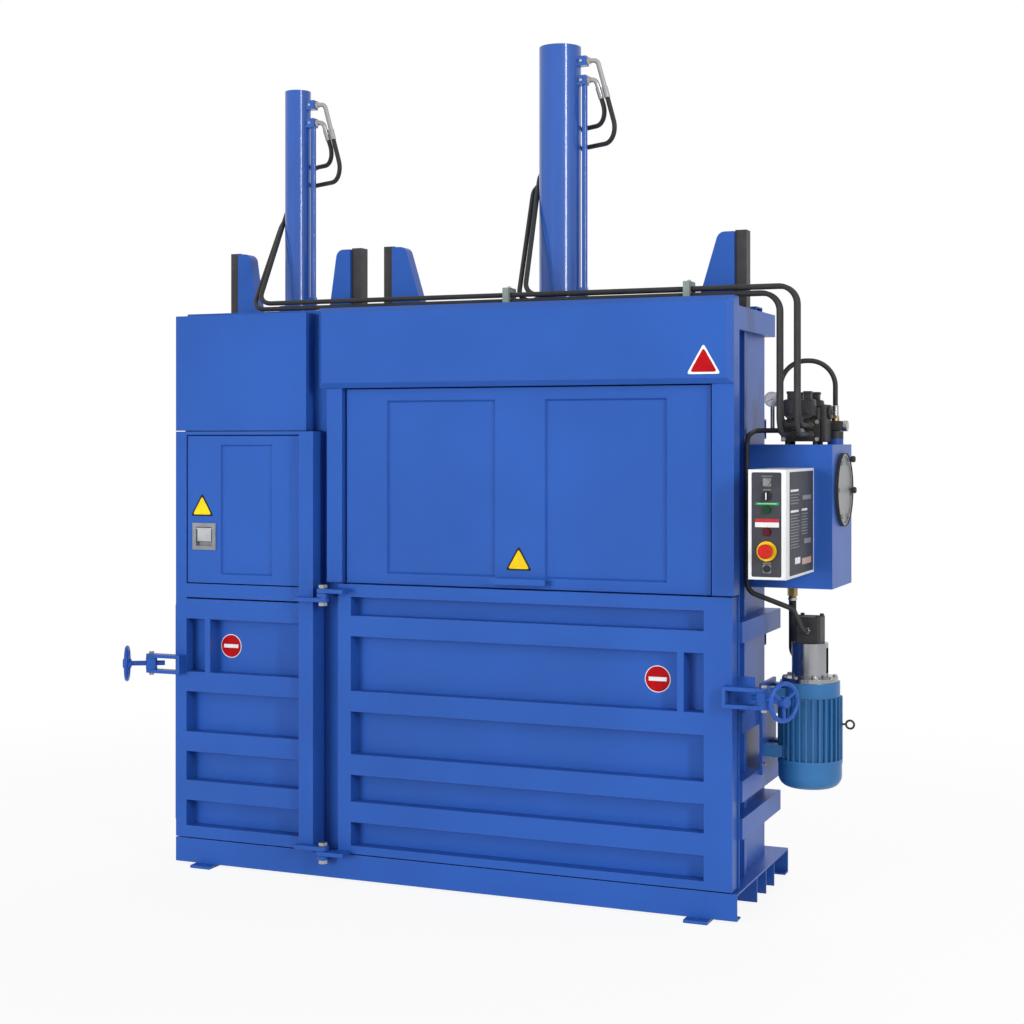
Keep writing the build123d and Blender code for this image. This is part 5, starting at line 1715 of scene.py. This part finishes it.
@dataclass
class Studio:
    """Floor, soft lamps, pale world and the photograph's camera."""

    camera_place: Triple = (2.516, -5.722, 1.552)
    camera_tilt: float = 90.0
    camera_turn: float = 22.6
    lens: float = 60.71
    shift: float = -0.0703
    floor_size: float = 60.0
    floor_colour: Colour = (0.86, 0.86, 0.87)
    floor_roughness: float = 0.9
    floor_glow: float = 0.9
    fade_start: float = 2.0
    fade_end: float = 4.6
    world_strength: float = 0.42
    aim: Triple = (0.2, 0.0, 1.2)
    lamps: tuple[Lamp, ...] = (
        Lamp("key_lamp", (-4.2, -11.5, 2.4), (4.2, 4.2), 800.0, False),
        Lamp("fill_lamp", (5.9, -4.2, 3.4), (0.7, 2.8), 210.0, True),
        Lamp("rear_lamp", (0.5, 6.5, 5.4), (4.0, 4.0), 260.0, False),
    )

    def build(self) -> None:
        """Adds the stage."""
        bpy.context.scene.view_settings.view_transform = "Standard"
        self._camera()
        self._world()
        self._floor()
        for lamp in self.lamps:
            lamp.build(self.aim)

    def _camera(self) -> None:
        """Adds the camera."""
        data = bpy.data.cameras.new("camera")
        data.lens = self.lens
        data.shift_y = self.shift
        camera = bpy.data.objects.new("camera", data)
        camera.location = self.camera_place
        camera.rotation_euler = (math.radians(self.camera_tilt), 0, math.radians(self.camera_turn))
        bpy.context.scene.collection.objects.link(camera)
        bpy.context.scene.camera = camera

    def _world(self) -> None:
        """Lights the scene evenly, and shows white behind it."""
        world = bpy.data.worlds.new("pale_world")
        bpy.context.scene.world = world
        world.use_nodes = True
        tree = Tree(world.node_tree)
        strength = self.world_strength + (1.0 - self.world_strength) * Studio.seen(tree)
        sky = tree.node("ShaderNodeBackground", {}, {"Color": WHITE_LIGHT, "Strength": strength})
        tree.node("ShaderNodeOutputWorld", {}, {0: sky.outputs[0]})

    @staticmethod
    def seen(tree: Tree) -> Value:
        """A mask of what the camera, a reflection or glass sees.

        Args:
            tree: the tree that it is added to.

        Returns:
            One for those rays, else zero.
        """
        path = tree.node("ShaderNodeLightPath").outputs
        rays = ("Is Camera Ray", "Is Glossy Ray", "Is Transmission Ray")
        camera, glossy, through = (Value(tree, path[ray]) for ray in rays)
        return camera + glossy + through

    def _floor(self) -> None:
        """Adds a pale floor that keeps the shadow and fades into the background."""
        half = self.floor_size / 2
        corners = [(-half, -half, 0), (half, -half, 0), (half, half, 0), (-half, half, 0)]
        data = bpy.data.meshes.new("floor")
        data.from_pydata(corners, [], [(0, 1, 2, 3)])
        floor = bpy.data.objects.new("floor", data)
        bpy.context.scene.collection.objects.link(floor)
        shader = Shader("pale_floor")
        plain = shader.surface({"Base Color": (*self.floor_colour, 1.0), "Roughness": self.floor_roughness})
        glow = shader.node("ShaderNodeEmission", {}, {"Color": WHITE_LIGHT, "Strength": 1.0})
        x, y = shader.coordinate(0), shader.coordinate(1)
        fade = ((x * x + y * y) ** 0.5).ramp(self.fade_start, self.fade_end)
        share = self.floor_glow + (1.0 - self.floor_glow) * fade
        sockets = {0: share * Studio.seen(shader), 1: plain.outputs[0], 2: glow.outputs[0]}
        data.materials.append(shader.finish(shader.node("ShaderNodeMixShader", {}, sockets)))


PORT_FITTINGS = (((0.405, 0.0, 2.76), (0.56, 0.08, 2.95)), ((-0.69, 0.0, 2.685), (-0.53, 0.08, 2.88)))
SUCTION_NUT = (((1.0, 0.0, 1.012), (1.4, 0.3, 1.07)),)
FILTER_TOP = (((1.2, 0.0, 1.6), (1.4, 0.3, 1.7)),)
FILTER_FOOT = (((1.2, 0.0, 1.5), (1.4, 0.3, 1.556)),)
LIFTING_EYE = (((1.316, 0.0, 0.5), (1.4, 0.1, 0.7)),)
FORK_HEADS = (((-2.0, -1.0, 0.6), (2.0, 0.0, 0.6977)), ((-2.0, -1.0, 0.7663), (2.0, 0.0, 0.8)))
PRESS_HOSE = TwoPart("press_hose", RUBBER.colour, RUBBER, ZINC, PORT_FITTINGS)
SUCTION_HOSE = TwoPart("suction_hose", RUBBER.colour, RUBBER, BRASS, SUCTION_NUT)
FILTER_TAIL = TwoPart("filter_tail", IRON.colour, IRON, BRASS, FILTER_TOP)
FILTER = TwoPart("filter_column", IRON.colour, FILTER_TAIL, ENAMEL, FILTER_FOOT)
MOTOR_BODY = TwoPart("motor_and_eye", MOTOR_ENAMEL.colour, MOTOR_ENAMEL, IRON, LIFTING_EYE)
LOCK_FORK = TwoPart("lock_fork", ENAMEL.colour, ENAMEL, ZINC, FORK_HEADS)
FINISHES: dict[Finish, tuple[str, ...]] = {
    ENAMEL: (
        "base_frame", "foot_plates", "left_wall", "divider_wall", "right_wall", "rear_wall_small",
        "rear_wall_large", "small_header", "large_header", "gate_posts", "small_top_beams", "large_top_beams",
        "cylinder_bridges", "oil_tank", "motor_bracket", "small_door", "large_door", "small_trunnion",
        "large_trunnion", "feed_flap", "feed_gate", "large_platen", "small_platen",
    ),
    LOCK_FORK: ("small_lock_fork", "large_lock_fork"),
    BARREL_ENAMEL: ("large_barrel", "small_barrel"),
    WHEEL_ENAMEL: ("small_handwheel", "large_handwheel"),
    MOTOR_ENAMEL: ("motor_cowl",),
    MOTOR_BODY: ("motor_body",),
    CABINET_ENAMEL: ("control_cabinet", "cabinet_cover"),
    COVER_ENAMEL: ("tank_cover",),
    FILTER: ("return_filter",),
    ZINC: ("hinge_pins", "pressure_gauge", "pump_coupling"),
    CHROME: ("large_rod", "small_rod"),
    BELL_METAL: ("bell_housing",),
    IRON: ("valve_block", "pump_block"),
    COIL: ("solenoids",),
    RUBBER: ("return_hose", "pressure_hose"),
    PRESS_HOSE: ("press_hoses",),
    SUCTION_HOSE: ("suction_hose",),
    WEAR_PLASTIC: ("large_wear_strips", "small_wear_strips"),
    CLAMP_PLASTIC: ("pipe_clamps",),
    LATCH_PLASTIC: ("latch_housing",),
    LATCH_PALE: ("latch_paddle",),
    COLLAR_YELLOW: ("estop_collar",),
    BUTTON_RED: ("estop_button",),
    BUTTON_GREEN: ("start_button",),
    BUTTON_DARK_RED: ("stop_button",),
    BUTTON_BLACK: ("jog_button", "selector_knob"),
    LAMP_LENS: ("pilot_lamp",),
}


def main() -> None:
    """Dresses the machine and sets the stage."""
    logging.basicConfig(level=logging.INFO, format="%(message)s")
    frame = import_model()
    Studio().build()
    Solids(frame["nodes"], FINISHES).dress()
    assemblies = (Signs(), ControlPanel(), GaugeDial(), HoseFittings(), Fasteners(), TankTop(), DoorWelds())
    for assembly in assemblies:
        LOG.info("assembly %s", type(assembly).__name__)
        assembly.build()
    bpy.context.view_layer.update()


if __name__ == "__main__":
    main()
